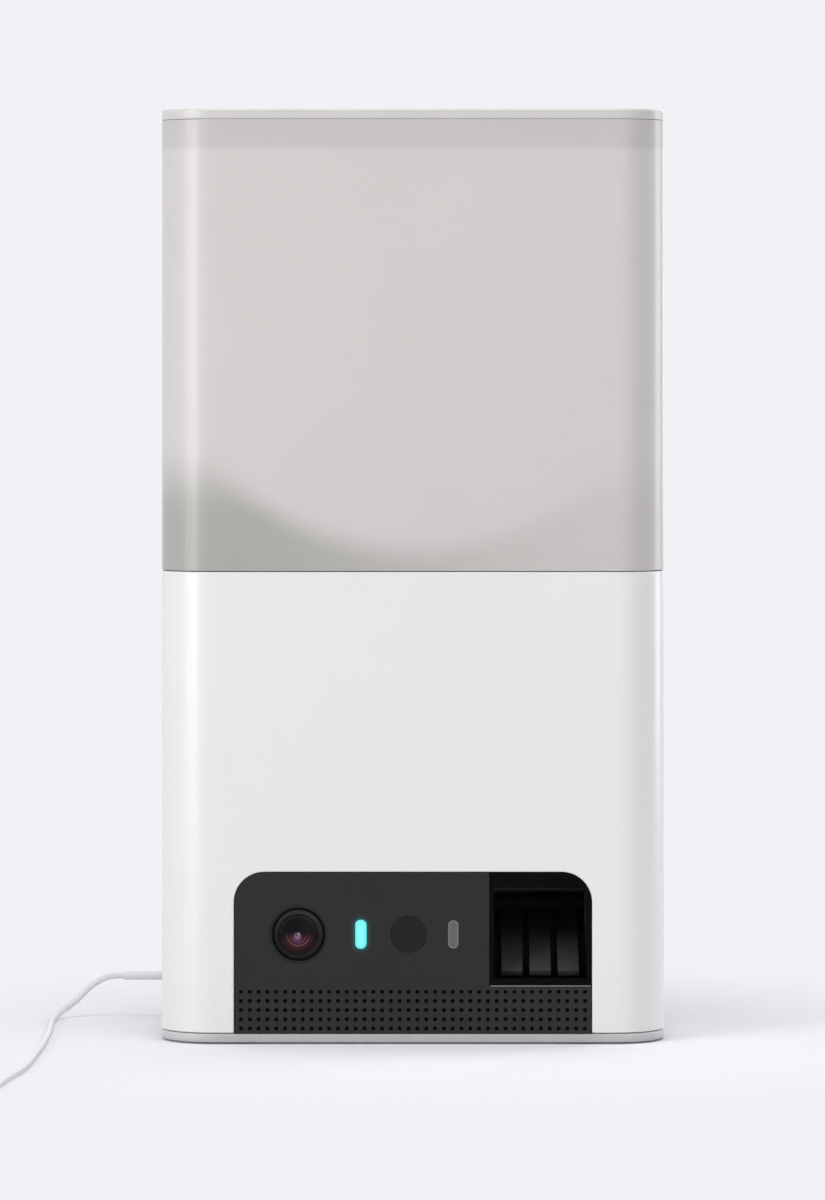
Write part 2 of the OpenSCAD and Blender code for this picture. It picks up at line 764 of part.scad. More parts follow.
// Front glass: a shallow dome on a short drum
module lens_glass() color([0.05, 0.05, 0.08, 0.9]) {
  dome_r = (glass_r ^ 2 + glass_dome_h ^ 2) / 2 / glass_dome_h;
  rim_y = front_y - bezel_proud + glass_dome_h;
  rod_y(lens_x, lens_z, glass_r, rim_y, front_y + 2.2);
  intersection() {
    translate([lens_x, rim_y - glass_dome_h + dome_r, lens_z]) rotate([90, 0, 0]) sphere(dome_r);
    rod_y(lens_x, lens_z, glass_r, front_y - 1, rim_y + eps);
  }
}

module lens_holder() color([0.1, 0.1, 0.1]) {
  difference() {
    union() {
      along_y(camera_board_y - 4, camera_board_y)
        translate([lens_x, lens_z]) rounded_rect(holder_w, holder_w, 1.5);
      rod_y(lens_x, lens_z, 7.4, front_y + 10, camera_board_y - 4 + eps);
    }
    rod_y(lens_x, lens_z, 6.05, front_y + 9, camera_board_y - 0.9);
  }
}

module camera_board() color([0.1, 0.3, 0.2]) {
  along_y(camera_board_y, camera_board_y + board_t)
    translate([lens_x, lens_z]) rounded_rect(28, 22, 1.5);
  block([lens_x - 5, camera_board_y + board_t - eps, lens_z - 5],
    [lens_x + 5, camera_board_y + board_t + 1.2, lens_z + 5]);
}

module light_board() color([0.1, 0.3, 0.2]) {
  mid = (status_x + sensor_x) / 2;
  along_y(light_board_y, light_board_y + board_t)
    translate([mid, lens_z]) rounded_rect(sensor_x - status_x + 9, 14, 1);
  for (x = [status_x, sensor_x, infrared_x - 2.2, infrared_x + 2.2])
    block([x - 1, light_board_y - 1, lens_z - 1], [x + 1, light_board_y + eps, lens_z + 1]);
}

// A light bar that fills its slot and flares behind the panel
module light_bar(x) {
  along_y(front_y + 0.1, lip_back + 0.15) light_slot(x, 0);
  along_y(lip_back + 0.1, light_board_y - 1.2) light_slot(x, light_flange);
}

module status_light_pipe() color([0.53, 0.99, 0.98]) light_bar(status_x);

module sensor_light_pipe() color([0.43, 0.43, 0.43]) light_bar(sensor_x);

module infrared_window() color([0.15, 0.15, 0.15]) {
  rod_y(infrared_x, lens_z, infrared_r, front_y + 0.1, lip_back + 0.15);
  rod_y(infrared_x, lens_z, infrared_r + light_flange, lip_back + 0.1, lip_back + 1.3);
}

// Toss chamber and its drive

// The chamber's side outline in Y and Z, drawn in by its wall
module chamber_side(inset) {
  under = mouth_z + inset * 1.1;
  polygon([
    [front_y - inset, under], [front_y + 14, under], [shaft_y + 7.2 - inset, shaft_z - 2.6],
    [shaft_y + 7.2 - inset, shaft_z + 7], [duct_back - inset, shaft_z + 17 + inset * 0.3],
    [duct_back - inset, duct_seat_z + inset], [duct_front + inset, duct_seat_z + inset],
    [duct_front + inset, panel_top - panel_fit - inset], [front_y - inset, panel_top - panel_fit - inset]
  ]);
}

// The chamber's block: the outlet's outline in front, and a plain box behind
module chamber_block(inset) {
  along_y(front_y - inset, duct_front + inset + eps) mouth_outline(inset);
  block([mouth_left + inset, duct_front + inset, mouth_z], [mouth_right - inset, duct_back, body_h]);
  block([mouth_left + inset, front_y + 8, mouth_z], [mouth_right - inset, duct_back, panel_top - panel_r]);
}

module toss_chamber() color([0.07, 0.07, 0.07]) {
  difference() {
    union() {
      intersection() {
        chamber_block(0);
        along_x(mouth_left, mouth_right) chamber_side(0);
      }
      // Legs that stand on the base
      for (x = [mouth_left, mouth_right - chamber_wall])
        block([x, front_y + 15, base_h], [x + chamber_wall, front_y + 25, mouth_z + 3]);
    }
    intersection() {
      chamber_block(chamber_wall);
      along_x(mouth_left, mouth_right) chamber_side(chamber_wall);
    }
    // Holes for the paddle's hub and its shaft
    rod_x(shaft_y, shaft_z, hub_r + 0.3, mouth_left - 1, mouth_left + chamber_wall + 1);
    rod_x(shaft_y, shaft_z, shaft_r, mouth_right - 2, mouth_right + 1);
  }
  // Low sill across the outlet
  block([mouth_left + chamber_wall - eps, front_y, mouth_z + chamber_wall - eps],
    [mouth_right - chamber_wall + eps, front_y + 1, floor_z + 0.6]);
  // Sloping plate that leads treats from the drop to the paddle
  along_x(mouth_left + chamber_wall - eps, mouth_right - chamber_wall + eps) polygon([
    [shaft_y + 1.6, shaft_z + 3.9], [shaft_y + 7.2 - chamber_wall / 2, shaft_z + 7.4],
    [shaft_y + 7.2 - chamber_wall / 2, shaft_z + 5.9], [shaft_y + 2.6, shaft_z + 2.9]
  ]);
}

module toss_paddle() color([0.2, 0.2, 0.2]) {
  sector_x = paddle_side_x - sector_t;
  difference() {
    union() {
      rod_x(shaft_y, shaft_z, hub_r, sector_x, mouth_right - chamber_wall - 0.3);
      for (k = [-1:1])
        translate([chamber_x + k * bar_pitch - bar_w / 2, shaft_y, shaft_z]) rotate([paddle_slope, 0, 0])
          block([0, -paddle_len, -paddle_t / 2], [bar_w, 0, paddle_t / 2]);
      // Toothed sector outside the chamber
      along_x(sector_x, paddle_side_x) translate([shaft_y, shaft_z]) intersection() {
        gear_outline(sector_teeth);
        union() {
          circle(hub_r);
          polygon([[0, 0], for (a = [sector_from:(sector_to - sector_from) / 4:sector_to])
            20 * gear_module * [cos(a), sin(a)]]);
        }
      }
    }
    rod_x(shaft_y, shaft_z, shaft_r + running_fit, sector_x - 1, mouth_right);
  }
}

module paddle_shaft() color([0.7, 0.7, 0.72]) {
  rod_x(shaft_y, shaft_z, shaft_r, bracket_x - bracket_t, mouth_right);
}

// Torsion spring between the chamber and the gear sector
module paddle_spring() color([0.75, 0.75, 0.77]) {
  difference() {
    union() {
      rod_x(shaft_y, shaft_z, hub_r + 1.4, paddle_side_x + 0.2, mouth_left - 0.2);
      along_x(paddle_side_x + 0.9, mouth_left - 0.2)
        translate([shaft_y, shaft_z + hub_r]) square([11, 1.2]);
    }
    rod_x(shaft_y, shaft_z, hub_r + 0.3, paddle_side_x, mouth_left);
  }
}

module toss_motor() color([0.7, 0.7, 0.7]) {
  translate([bracket_x - bracket_t, shaft_y, toss_motor_z]) rotate([0, -90, 0]) gear_motor(shaft_r);
}

module toss_pinion() color([0.9, 0.9, 0.88]) {
  along_x(bracket_x + 0.5, paddle_side_x)
    translate([shaft_y, toss_motor_z]) gear_outline(toss_pinion_teeth);
  rod_x(shaft_y, toss_motor_z, shaft_r, bracket_x - bracket_t - 3.5, paddle_side_x + 1);
}

module toss_bracket() color([0.8, 0.8, 0.8]) {
  left = bracket_x - bracket_t;
  difference() {
    union() {
      block([left, shaft_y - 9, base_h], [bracket_x, shaft_y + 9, shaft_z + 5]);
      block([left - 12, shaft_y - 9, base_h], [bracket_x, shaft_y + 9, base_h + bracket_t]);
    }
    rod_x(shaft_y, shaft_z, shaft_r, left - 1, bracket_x + 1);
    rod_x(shaft_y, toss_motor_z, motor_boss_r, left - 1, bracket_x + 1);
  }
}

module drop_duct() color([0.25, 0.25, 0.26]) {
  difference() {
    block([mouth_left, duct_front, duct_seat_z], [mouth_right, duct_back, deck_z]);
    block([mouth_left + chamber_wall, duct_front + chamber_wall, duct_seat_z - 1],
      [mouth_right - chamber_wall, duct_back - chamber_wall, deck_z + 1]);
  }
}

// Portioning

// Places of the screws that hold the deck on the corner posts
deck_screw_places = [for (sx = [-1, 1], sy = [-1, 1]) [sx * post_x, sy * post_y]];
drop_y = (duct_front + duct_back) / 2;

module hopper_deck() color([0.82, 0.82, 0.8]) {
  difference() {
    union() {
      upright(deck_z, deck_top) footprint(shell_wall + deck_fit);
      // Wall round the wheel, open to the idler gear, and flat where the shell comes close
      difference() {
        intersection() {
          upright(deck_top - eps, cover_z) translate([wheel_x, 0]) circle(ring_wall_r + ring_wall_t);
          upright(deck_z, cover_top) footprint(shell_wall + deck_fit);
        }
        upright(deck_top, cover_z + 1) translate([wheel_x, 0]) circle(ring_wall_r);
        upright(deck_top, cover_z + 1) translate([idler_x, 0])
          circle(gear_module * (idler_teeth / 2 + 1.6));
      }
      // Posts under the cover
      for (x = cover_post_x, sy = [-1, 1])
        upright(deck_top - eps, cover_z) translate([x, sy * cover_post_y]) circle(2.6);
    }
    upright(deck_z - 1, deck_top + 1) translate([drop_x, 0]) circle(pocket_d / 2);
    upright(deck_z - 1, deck_top + 1) translate([wheel_x, 0]) circle(wheel_shaft_r);
    upright(deck_z - 1, deck_top + 1) translate([idler_x, 0]) circle(idler_shaft_r);
    for (place = deck_screw_places) upright(deck_z - 1, deck_top + 1) translate(place) circle(screw_r + 0.2);
  }
}

cover_inset = rim_inset + rim_t + 0.4;
cover_post_x = [-body_w / 2 + 16, body_w / 2 - 13];
cover_post_y = body_d / 2 - 14;

module deck_screws() color([0.6, 0.6, 0.62]) {
  for (place = deck_screw_places)
    translate([place[0], place[1], deck_top]) mirror([0, 0, 1]) screw(-screw_head_h);
}

module portion_wheel() color([0.9, 0.9, 0.88]) {
  difference() {
    union() {
      upright(wheel_z, wheel_z + wheel_h) translate([wheel_x, 0]) circle(wheel_body_r);
      upright(wheel_z, wheel_z + gear_h) translate([wheel_x, 0]) gear_outline(wheel_teeth);
    }
    for (k = [0:pocket_count - 1]) upright(wheel_z - 1, wheel_z + wheel_h + 1)
      translate([wheel_x, 0]) rotate(k * 360 / pocket_count) translate([pocket_ring_r, 0])
        circle(pocket_d / 2);
    upright(wheel_z - 1, wheel_z + wheel_h + 1)
      translate([wheel_x, 0]) circle(wheel_shaft_r + running_fit);
  }
}

module wheel_shaft() color([0.7, 0.7, 0.72]) {
  upright(deck_z, cover_z) translate([wheel_x, 0]) circle(wheel_shaft_r);
}

module idler_gear() color([0.9, 0.9, 0.88]) {
  upright(wheel_z, wheel_z + gear_h) translate([idler_x, 0]) difference() {
    rotate(180 / idler_teeth) gear_outline(idler_teeth);
    circle(idler_shaft_r + running_fit);
  }
}

module idler_shaft() color([0.7, 0.7, 0.72]) {
  upright(deck_z, cover_z) translate([idler_x, 0]) circle(idler_shaft_r);
}

module motor_pinion() color([0.9, 0.9, 0.88]) {
  upright(wheel_z, wheel_z + gear_h) translate([pinion_x, 0]) gear_outline(pinion_teeth);
  upright(wheel_z, motor_z + 3.5) translate([pinion_x, 0]) circle(shaft_r);
}

module wheel_motor() color([0.7, 0.7, 0.7]) {
  translate([pinion_x, 0, motor_z]) gear_motor(shaft_r);
}

module wheel_cover() color([0.82, 0.82, 0.8]) {
  difference() {
    union() {
      upright(cover_z, cover_top) footprint(cover_inset);
      upright(cover_top - eps, cover_top + socket_ring_h) translate([throat_x, 0])
        circle(throat_r + throat_wall + throat_fit + socket_ring_t);
    }
    upright(cover_z - 1, cover_top + 1) translate([throat_x, 0]) circle(throat_r);
    upright(cover_top, body_h) translate([throat_x, 0]) circle(throat_r + throat_wall + throat_fit);
    block([pinion_x - motor_t / 2 - 0.3, -motor_w / 2 - 0.3, cover_z - 1],
      [pinion_x + motor_t / 2 + 0.3, motor_w / 2 + 0.3, cover_top + 1]);
  }
}

// Hood over the wheel's motor, with a top that follows the container's curved floor
module motor_dome() color([0.7, 0.69, 0.67]) {
  half = motor_w / 2 + dome_fit + dome_wall;
  left = pinion_x - motor_t / 2 - dome_fit - dome_wall - 8;
  right = pinion_x + motor_t / 2 + dome_fit + dome_wall + 8;
  difference() {
    block([left, -half - 8, cover_top], [right, half + 8, motor_z + motor_len + 12]);
    rod_y(0, bowl_axis_z, bowl_under_r + dome_gap, front_y, back_y);
    block([pinion_x - motor_t / 2 - dome_fit, -motor_w / 2 - dome_fit, cover_top - 1],
      [pinion_x + motor_t / 2 + dome_fit, motor_w / 2 + dome_fit, motor_z + motor_len + 0.3]);
  }
}

// Electronics

module main_board() color([0.1, 0.3, 0.2]) {
  face = main_board_y - board_t;
  translate([main_board_x, 0, main_board_z]) {
    block([-main_board_w / 2, face, 0], [main_board_w / 2, main_board_y, main_board_h]);
    // Shield can, processor and connectors, counted from the board's lower edge
    block([-22, face - 2.4, main_board_h / 2 + 2], [4, face + eps, main_board_h - 10]);
    block([10, face - 1.4, 12], [24, face + eps, 26]);
    for (x = [-24, -12, 0]) block([x, face - 5, 3], [x + 8, face + eps, 9]);
  }
}

module power_board() color([0.1, 0.3, 0.2]) {
  block([port_x + pocket_wall + 0.2, power_y - 7, power_board_z],
    [reset_x + 3, power_y + 1.3, power_board_z + power_board_t]);
}

module power_socket() color([0.75, 0.75, 0.76]) {
  difference() {
    along_x(port_x, port_x + socket_len)
      translate([power_y, power_z]) rounded_rect(socket_w, socket_h, 1.2);
    along_x(port_x - 1, port_x + socket_len - socket_skin)
      translate([power_y, power_z]) rounded_rect(socket_w - 2 * socket_skin, socket_h - 2 * socket_skin, 0.9);
  }
}

module reset_button() color([0.9, 0.9, 0.89]) {
  rod_y(reset_x, power_z, reset_r, inner_back - 0.3, back_y - 0.2);
  rod_y(reset_x, power_z, reset_r + 0.9, inner_back - 0.3 - reset_cap_t, inner_back - 0.3 + eps);
}

module reset_switch() color([0.3, 0.3, 0.3]) {
  face = inner_back - 0.3 - reset_cap_t - reset_travel - 0.15;
  block([reset_x - 2.6, face - 2, power_board_z + power_board_t], [reset_x + 2.6, face - 1, power_z + 2.6]);
  block([reset_x - 2.6, power_y - 3, power_board_z + power_board_t],
    [reset_x + 2.6, face - 2 + eps, power_board_z + power_board_t + 1]);
  rod_y(reset_x, power_z, 1, face - 1 - eps, face);
}

// Power cord

module power_plug() color([0.95, 0.95, 0.95]) {
  right = port_x - plug_gap;
  along_x(right - plug_len, right) translate([power_y, power_z]) rounded_rect(plug_w, plug_h, 2.4);
  along_x(right - eps, port_x + socket_len - 1.2) translate([power_y, power_z])
    rounded_rect(socket_w - 2 * socket_skin - 0.2, socket_h - 2 * socket_skin - 0.2, 0.8);
}

module cord_sleeve() color([0.8, 0.8, 0.8]) {
  translate([sleeve_start, power_y, power_z]) rotate([0, -90, 0]) {
    cylinder(h = sleeve_taper, r1 = 2.6, r2 = sleeve_r);
    cylinder(h = sleeve_start - sleeve_end, r = sleeve_r);
  }
}

module from_sleeve() {
  translate([sleeve_end, power_y, 0]) children();
}

module power_cord() color([0.92, 0.92, 0.92])
  from_sleeve() tube(smooth_route(cord_route), cord_r, cord_sides);

module cord_tail() color([0.92, 0.92, 0.92])
  from_sleeve() tube(smooth_route(tail_route), cord_r, cord_sides);

// One unbroken winding; its least gap to itself is measured between points over half a loop apart
module cord_coil() color([0.92, 0.92, 0.92]) {
  apart = coil_rings / 2;
  last = len(coil_path) - 1;
  least = min([
    for (i = [0:last - apart])
      min([for (k = [i + apart:last]) norm(coil_path[i] - coil_path[k])])
  ]);
  echo(least_gap = least - 2 * cord_r, coil_length = path_length(coil_path),
    cord_length = path_length(smooth_route(cord_route)), tail_length = path_length(smooth_route(tail_route)));
  from_sleeve() tube(coil_path, cord_r, coil_sides);
}

module cord_plug() color([0.93, 0.93, 0.93]) {
  from_sleeve() translate([far_plug_x, far_plug_y, far_plug_z]) {
    along_y(0, far_grip_len) rounded_rect(far_grip_w, far_grip_h, 1.6);
    difference() {
      along_y(far_grip_len - eps, far_grip_len + far_shell_len) square([far_shell_w, far_shell_h], center = true);
      along_y(far_grip_len + 4, far_grip_len + far_shell_len + 1) translate([0, 0.9])
        square([far_shell_w - 0.6, 1.9], center = true);
    }
  }
}

treat_container();
lid();
lid_seal();
body_shell();
base_plate();
base_feet();
base_screws();
front_panel();
grille_mesh();
speaker();
microphone();
lens_bezel();
lens_barrel();
lens_glass();
lens_holder();
camera_board();
light_board();
status_light_pipe();
infrared_window();
sensor_light_pipe();
toss_chamber();
toss_paddle();
paddle_shaft();
paddle_spring();
toss_motor();
toss_pinion();
toss_bracket();
drop_duct();
hopper_deck();
deck_screws();
portion_wheel();
wheel_shaft();
idler_gear();
idler_shaft();
motor_pinion();
wheel_motor();
wheel_cover();
motor_dome();
main_board();
power_board();
power_socket();
reset_button();
reset_switch();
power_plug();
cord_sleeve();
power_cord();
cord_coil();
cord_tail();
cord_plug();
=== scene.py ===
import json
import math

import bmesh
import bpy
import numpy as np
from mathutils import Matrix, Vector


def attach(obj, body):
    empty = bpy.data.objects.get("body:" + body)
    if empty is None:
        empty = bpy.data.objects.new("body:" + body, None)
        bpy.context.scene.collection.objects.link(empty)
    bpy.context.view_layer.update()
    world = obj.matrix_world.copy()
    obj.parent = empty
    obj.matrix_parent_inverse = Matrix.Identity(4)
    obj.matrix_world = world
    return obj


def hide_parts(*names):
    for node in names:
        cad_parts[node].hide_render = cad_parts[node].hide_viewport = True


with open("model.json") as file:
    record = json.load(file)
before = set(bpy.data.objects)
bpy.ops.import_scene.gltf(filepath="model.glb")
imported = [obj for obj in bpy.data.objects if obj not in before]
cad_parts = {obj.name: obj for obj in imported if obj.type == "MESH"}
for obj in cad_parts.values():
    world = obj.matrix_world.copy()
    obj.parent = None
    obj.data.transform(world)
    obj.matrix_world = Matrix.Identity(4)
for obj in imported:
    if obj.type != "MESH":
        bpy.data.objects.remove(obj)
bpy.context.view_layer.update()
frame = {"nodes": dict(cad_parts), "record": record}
cadNodes = frame["nodes"]
print("frame loaded:", len(cadNodes), "parts")

mm = 0.001
base = "base_unit"

# Level camera in front of the body. Its frame is shifted down, so that upright edges stay upright.
cameraView = {
    "distance": 1.638,   # from the body's middle
    "height": 0.1824,
    "focal": 182.73,
    "sensor": 36.0,
    "shiftDown": -0.2083,
    "shiftSide": -0.0004,
}


def makeCamera(view):
    lens = bpy.data.cameras.new("viewCamera")
    lens.lens = view["focal"]
    lens.sensor_width = view["sensor"]
    lens.shift_x = view["shiftSide"]
    lens.shift_y = view["shiftDown"]
    lens.clip_end = 20
    camera = bpy.data.objects.new("viewCamera", lens)
    camera.location = (0, -view["distance"], view["height"])
    camera.rotation_euler = (math.radians(90), 0, 0)
    bpy.context.collection.objects.link(camera)
    bpy.context.scene.camera = camera


makeCamera(cameraView)


# Mesh helpers: every piece ends in metres, in the frame's own axes

# A mesh object from points and faces, linked to the scene
def addPiece(name, points, faces, smoothAngle=35):
    mesh = bpy.data.meshes.new(name)
    mesh.from_pydata(np.asarray(points, float).tolist(), [], [list(f) for f in faces])
    mesh.update()
    piece = bpy.data.objects.new(name, mesh)
    bpy.context.collection.objects.link(piece)
    smoothShade(piece, smoothAngle)
    return piece


# Smooth shading, with the edges sharper than an angle kept hard
def smoothShade(piece, angle=35):
    piece.data.polygons.foreach_set("use_smooth", np.ones(len(piece.data.polygons), bool))
    piece.data.set_sharp_from_angle(angle=math.radians(angle))


# Quads between neighbouring loops of a grid of points. Each row of the grid is a closed loop, and the last
# row is joined to the first where asked.
def gridFaces(rows, columns, closeRows=False):
    r, c = np.meshgrid(np.arange(rows if closeRows else rows - 1), np.arange(columns), indexing="ij")
    below, right = (r + 1) % rows, (c + 1) % columns
    quads = np.stack([r * columns + c, r * columns + right, below * columns + right, below * columns + c], -1)
    return quads.reshape(-1, 4)


# Recalculates the normals outwards, after doubles are merged where a distance is given
def turnedOut(piece, merge=None):
    work = bmesh.new()
    work.from_mesh(piece.data)
    if merge:
        bmesh.ops.remove_doubles(work, verts=work.verts, dist=merge)
    bmesh.ops.recalc_face_normals(work, faces=work.faces)
    work.to_mesh(piece.data)
    work.free()
    return piece


# Puts the modifiers' result in the piece's mesh
def frozen(piece):
    made = bpy.data.meshes.new_from_object(piece.evaluated_get(bpy.context.evaluated_depsgraph_get()))
    piece.modifiers.clear()
    piece.data = made
    return piece


# Each corner of an outline becomes a parabola between points its radius away along both sides, with one
# more point beyond each end, which keeps the shading of the flat stretches flat
def roundCorners(corners, radii, steps=4):
    p = np.asarray(corners, float)
    radius = np.asarray(radii, float)[:, None]
    before, after = np.roll(p, 1, 0) - p, np.roll(p, -1, 0) - p
    lengthBefore = np.linalg.norm(before, axis=1, keepdims=True)
    lengthAfter = np.linalg.norm(after, axis=1, keepdims=True)
    before, after = before / lengthBefore, after / lengthAfter
    a, b = p + before * radius, p + after * radius
    t = np.linspace(0, 1, steps + 1)[:, None, None]
    curve = (1 - t) ** 2 * a + 2 * t * (1 - t) * p + t**2 * b
    spareBefore = np.clip(lengthBefore * 0.45 - radius, 0.01 * radius, 0.6 * radius)
    spareAfter = np.clip(lengthAfter * 0.45 - radius, 0.01 * radius, 0.6 * radius)
    rows = np.concatenate([(a + before * spareBefore)[None], curve, (b + after * spareAfter)[None]])
    return rows.transpose(1, 0, 2).reshape(-1, 2)


# Outline of a rectangle with round corners: four arcs about the corner centres, anticlockwise, with a
# support point just beyond each arc's ends
def roundedRectangle(width, height, radius, perCorner, support=0.8):
    angles = np.linspace(0, math.pi / 2, perCorner + 1)
    arcs = []
    for turn, (sx, sy) in enumerate([(1, 1), (-1, 1), (-1, -1), (1, -1)]):
        centre = np.array([sx * (width / 2 - radius), sy * (height / 2 - radius)])
        a = angles + turn * math.pi / 2
        arc = centre + radius * np.stack([np.cos(a), np.sin(a)], 1)
        first = arc[0] + support * np.array([math.sin(a[0]), -math.cos(a[0])])
        last = arc[-1] + support * np.array([-math.sin(a[-1]), math.cos(a[-1])])
        arcs.append(np.vstack([first, arc, last]))
    return np.vstack(arcs)


# The body's footprint, drawn in by an inset, in millimetres
def footprint(inset):
    return roundedRectangle(body["width"] - 2 * inset, body["depth"] - 2 * inset, body["corner"] - inset,
                            body["cornerSteps"])


# Loops of equally many points joined one after the other, with a flat cap on the first and the last
def joinLoops(name, loops, smoothAngle=35):
    count = len(loops[0])
    faces = [list(f) for f in gridFaces(len(loops), count)]
    faces += [list(range(count)), list(range((len(loops) - 1) * count, len(loops) * count))]
    return turnedOut(addPiece(name, np.vstack(loops), faces, smoothAngle))


# A profile of inset and height pairs carried round the footprint, each pair one loop
def loftBody(name, profile):
    loops = []
    for inset, z in profile:
        flat = footprint(inset)
        loops.append(np.column_stack([flat, np.full(len(flat), z)]) * mm)
    return joinLoops(name, loops)


# A profile of radius and depth pairs turned about an axis through the centre, both in millimetres.
# A radius of 0 is a pole, and the profile is a closed ring where it has no pole.
def revolve(name, centre, profile, axis="y", around=72, smoothAngle=35):
    turn = np.linspace(0, 2 * math.pi, around, endpoint=False)
    profile = np.asarray(profile, float)
    r, depth = profile[:, :1], profile[:, 1:]
    across, up = r * np.cos(turn), r * np.sin(turn)
    along = np.broadcast_to(depth, across.shape)
    order = {"y": (across, along, up), "x": (along, across, up)}[axis]
    points = (np.stack(order, -1).reshape(-1, 3) + np.asarray(centre, float)) * mm
    piece = addPiece(name, points, gridFaces(len(profile), around, profile[:, 0].min() > 0), smoothAngle)
    return turnedOut(piece, merge=1e-7)


# An upright outline in millimetres carried from front to back, with its end edges rounded: each loop is
# the outline scaled about its middle by the rounding's quarter circle
def extrude(name, outline, front, back, rounding=(0, 0), steps=3):
    outline = np.asarray(outline, float)
    middle = (outline.min(0) + outline.max(0)) / 2
    half = (outline.max(0) - outline.min(0)) / 2
    rows = []
    for end, inward, radius in ((front, 1, rounding[0]), (back, -1, rounding[1])):
        bend = np.linspace(0, math.pi / 2, steps + 1) if radius else np.array([math.pi / 2])
        part = [(radius * (1 - math.sin(a)), end + inward * radius * (1 - math.cos(a))) for a in bend]
        rows += part if inward > 0 else part[::-1]
    loops = []
    for inset, depth in rows:
        flat = middle + (outline - middle) * (1 - inset / half)
        loops.append(np.column_stack([flat[:, 0], np.full(len(flat), depth), flat[:, 1]]) * mm)
    return joinLoops(name, loops)


# Rounds the sharp edges by a width in millimetres, and keeps the shading of large flat faces flat
def softenEdges(piece, width, segments, sharpest=50):
    bevel = piece.modifiers.new("softEdges", "BEVEL")
    bevel.width = width * mm
    bevel.segments = segments
    bevel.limit_method = "ANGLE"
    bevel.angle_limit = math.radians(sharpest)
    bevel.use_clamp_overlap = False
    weigh = piece.modifiers.new("flatShade", "WEIGHTED_NORMAL")
    weigh.weight = 100
    weigh.keep_sharp = True
    return frozen(piece)


# A copy of a CAD part with its loose triangles welded. Where an edge width is given, flat areas are
# joined and the edges rounded. Without one each triangle is shaded flat, which suits a plate with many holes.
def softCopy(name, node, width, segments):
    piece = bpy.data.objects.new(name, bpy.data.meshes.new(name))
    bpy.context.collection.objects.link(piece)
    work = bmesh.new()
    work.from_mesh(cadNodes[node].data)
    work.transform(cadNodes[node].matrix_world)
    bmesh.ops.remove_doubles(work, verts=work.verts, dist=1e-6)
    if width:
        bmesh.ops.dissolve_limit(work, angle_limit=math.radians(0.5), verts=work.verts, edges=work.edges)
    bmesh.ops.recalc_face_normals(work, faces=work.faces)
    work.to_mesh(piece.data)
    work.free()
    if not width:
        piece.data.shade_flat()
        return piece
    smoothShade(piece)
    return softenEdges(piece, width, segments)


# Boolean difference with each cutter, which is then deleted
def cutAway(piece, *cutters):
    for cutter in cutters:
        cut = piece.modifiers.new("cut", "BOOLEAN")
        cut.operation = "DIFFERENCE"
        cut.solver = "EXACT"
        cut.object = cutter
    frozen(piece)
    for cutter in cutters:
        bpy.data.objects.remove(cutter)
    smoothShade(piece)
    return piece


# Gives a piece its material, the slot's finish unless one is given, puts it on its body, and hides the parts
# that it stands for
def dress(piece, slot, rides=base, replaces=(), material=None):
    piece.data.materials.clear()
    piece.data.materials.append(material or finishes[slot])
    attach(piece, rides)
    if replaces:
        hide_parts(*replaces)
    return piece


# A node's output, with + - * ** that add Math nodes, also where the number comes first
class Socket:
    def __init__(self, sheet, plug):
        self.sheet, self.plug = sheet, plug

    def math(self, operation, *values):
        return self.sheet.node("ShaderNodeMath", {"operation": operation}, dict(enumerate(values)))

    def __add__(self, other):
        return self.math("ADD", self, other)

    def __radd__(self, other):
        return self.math("ADD", other, self)

    def __sub__(self, other):
        return self.math("SUBTRACT", self, other)

    def __rsub__(self, other):
        return self.math("SUBTRACT", other, self)

    def __mul__(self, other):
        return self.math("MULTIPLY", self, other)

    def __rmul__(self, other):
        return self.math("MULTIPLY", other, self)

    def __pow__(self, other):
        return self.math("POWER", self, other)

    def __rpow__(self, other):
        return self.math("POWER", other, self)

    def size(self):
        return self.math("ABSOLUTE", self)

    def wave(self):
        return self.math("SINE", self)

    def atLeast(self, least):
        return self.math("MAXIMUM", self, least)

    def atMost(self, most):
        return self.math("MINIMUM", self, most)

    # Goes smoothly from one value at low to the other at high, and stays there beyond them
    def fade(self, low, high, atLow=0.0, atHigh=1.0):
        return self.sheet.node("ShaderNodeMapRange", {"interpolation_type": "SMOOTHSTEP"},
                               {0: self, 1: low, 2: high, 3: atLow, 4: atHigh})


# A node tree and the one method that adds any node to it
class Sheet:
    def __init__(self, owner, outputKind):
        owner.use_nodes = True
        self.tree = owner.node_tree
        self.tree.nodes.clear()
        self.output = self.tree.nodes.new(outputKind)

    def put(self, target, value):
        if isinstance(value, Socket):
            self.tree.links.new(value.plug, target)
        elif hasattr(value, "__len__") and len(value) == 3 and len(target.default_value) == 4:
            target.default_value = (*value, 1)
        else:
            target.default_value = value

    def node(self, kind, settings=None, inputs=None, output=0):
        made = self.tree.nodes.new(kind)
        for key, value in (settings or {}).items():
            setattr(made, key, value)
        for key, value in (inputs or {}).items():
            self.put(made.inputs[key], value)
        return Socket(self, made.outputs[output])

    # 1 for rays that show a thing: straight from the camera, by a reflection or through clear material
    def seen(self, direct=1.0):
        eye, gloss, through = [self.node("ShaderNodeLightPath", output=kind) for kind in
                               ("Is Camera Ray", "Is Glossy Ray", "Is Transmission Ray")]
        return (eye * direct + gloss + through).atMost(1.0)


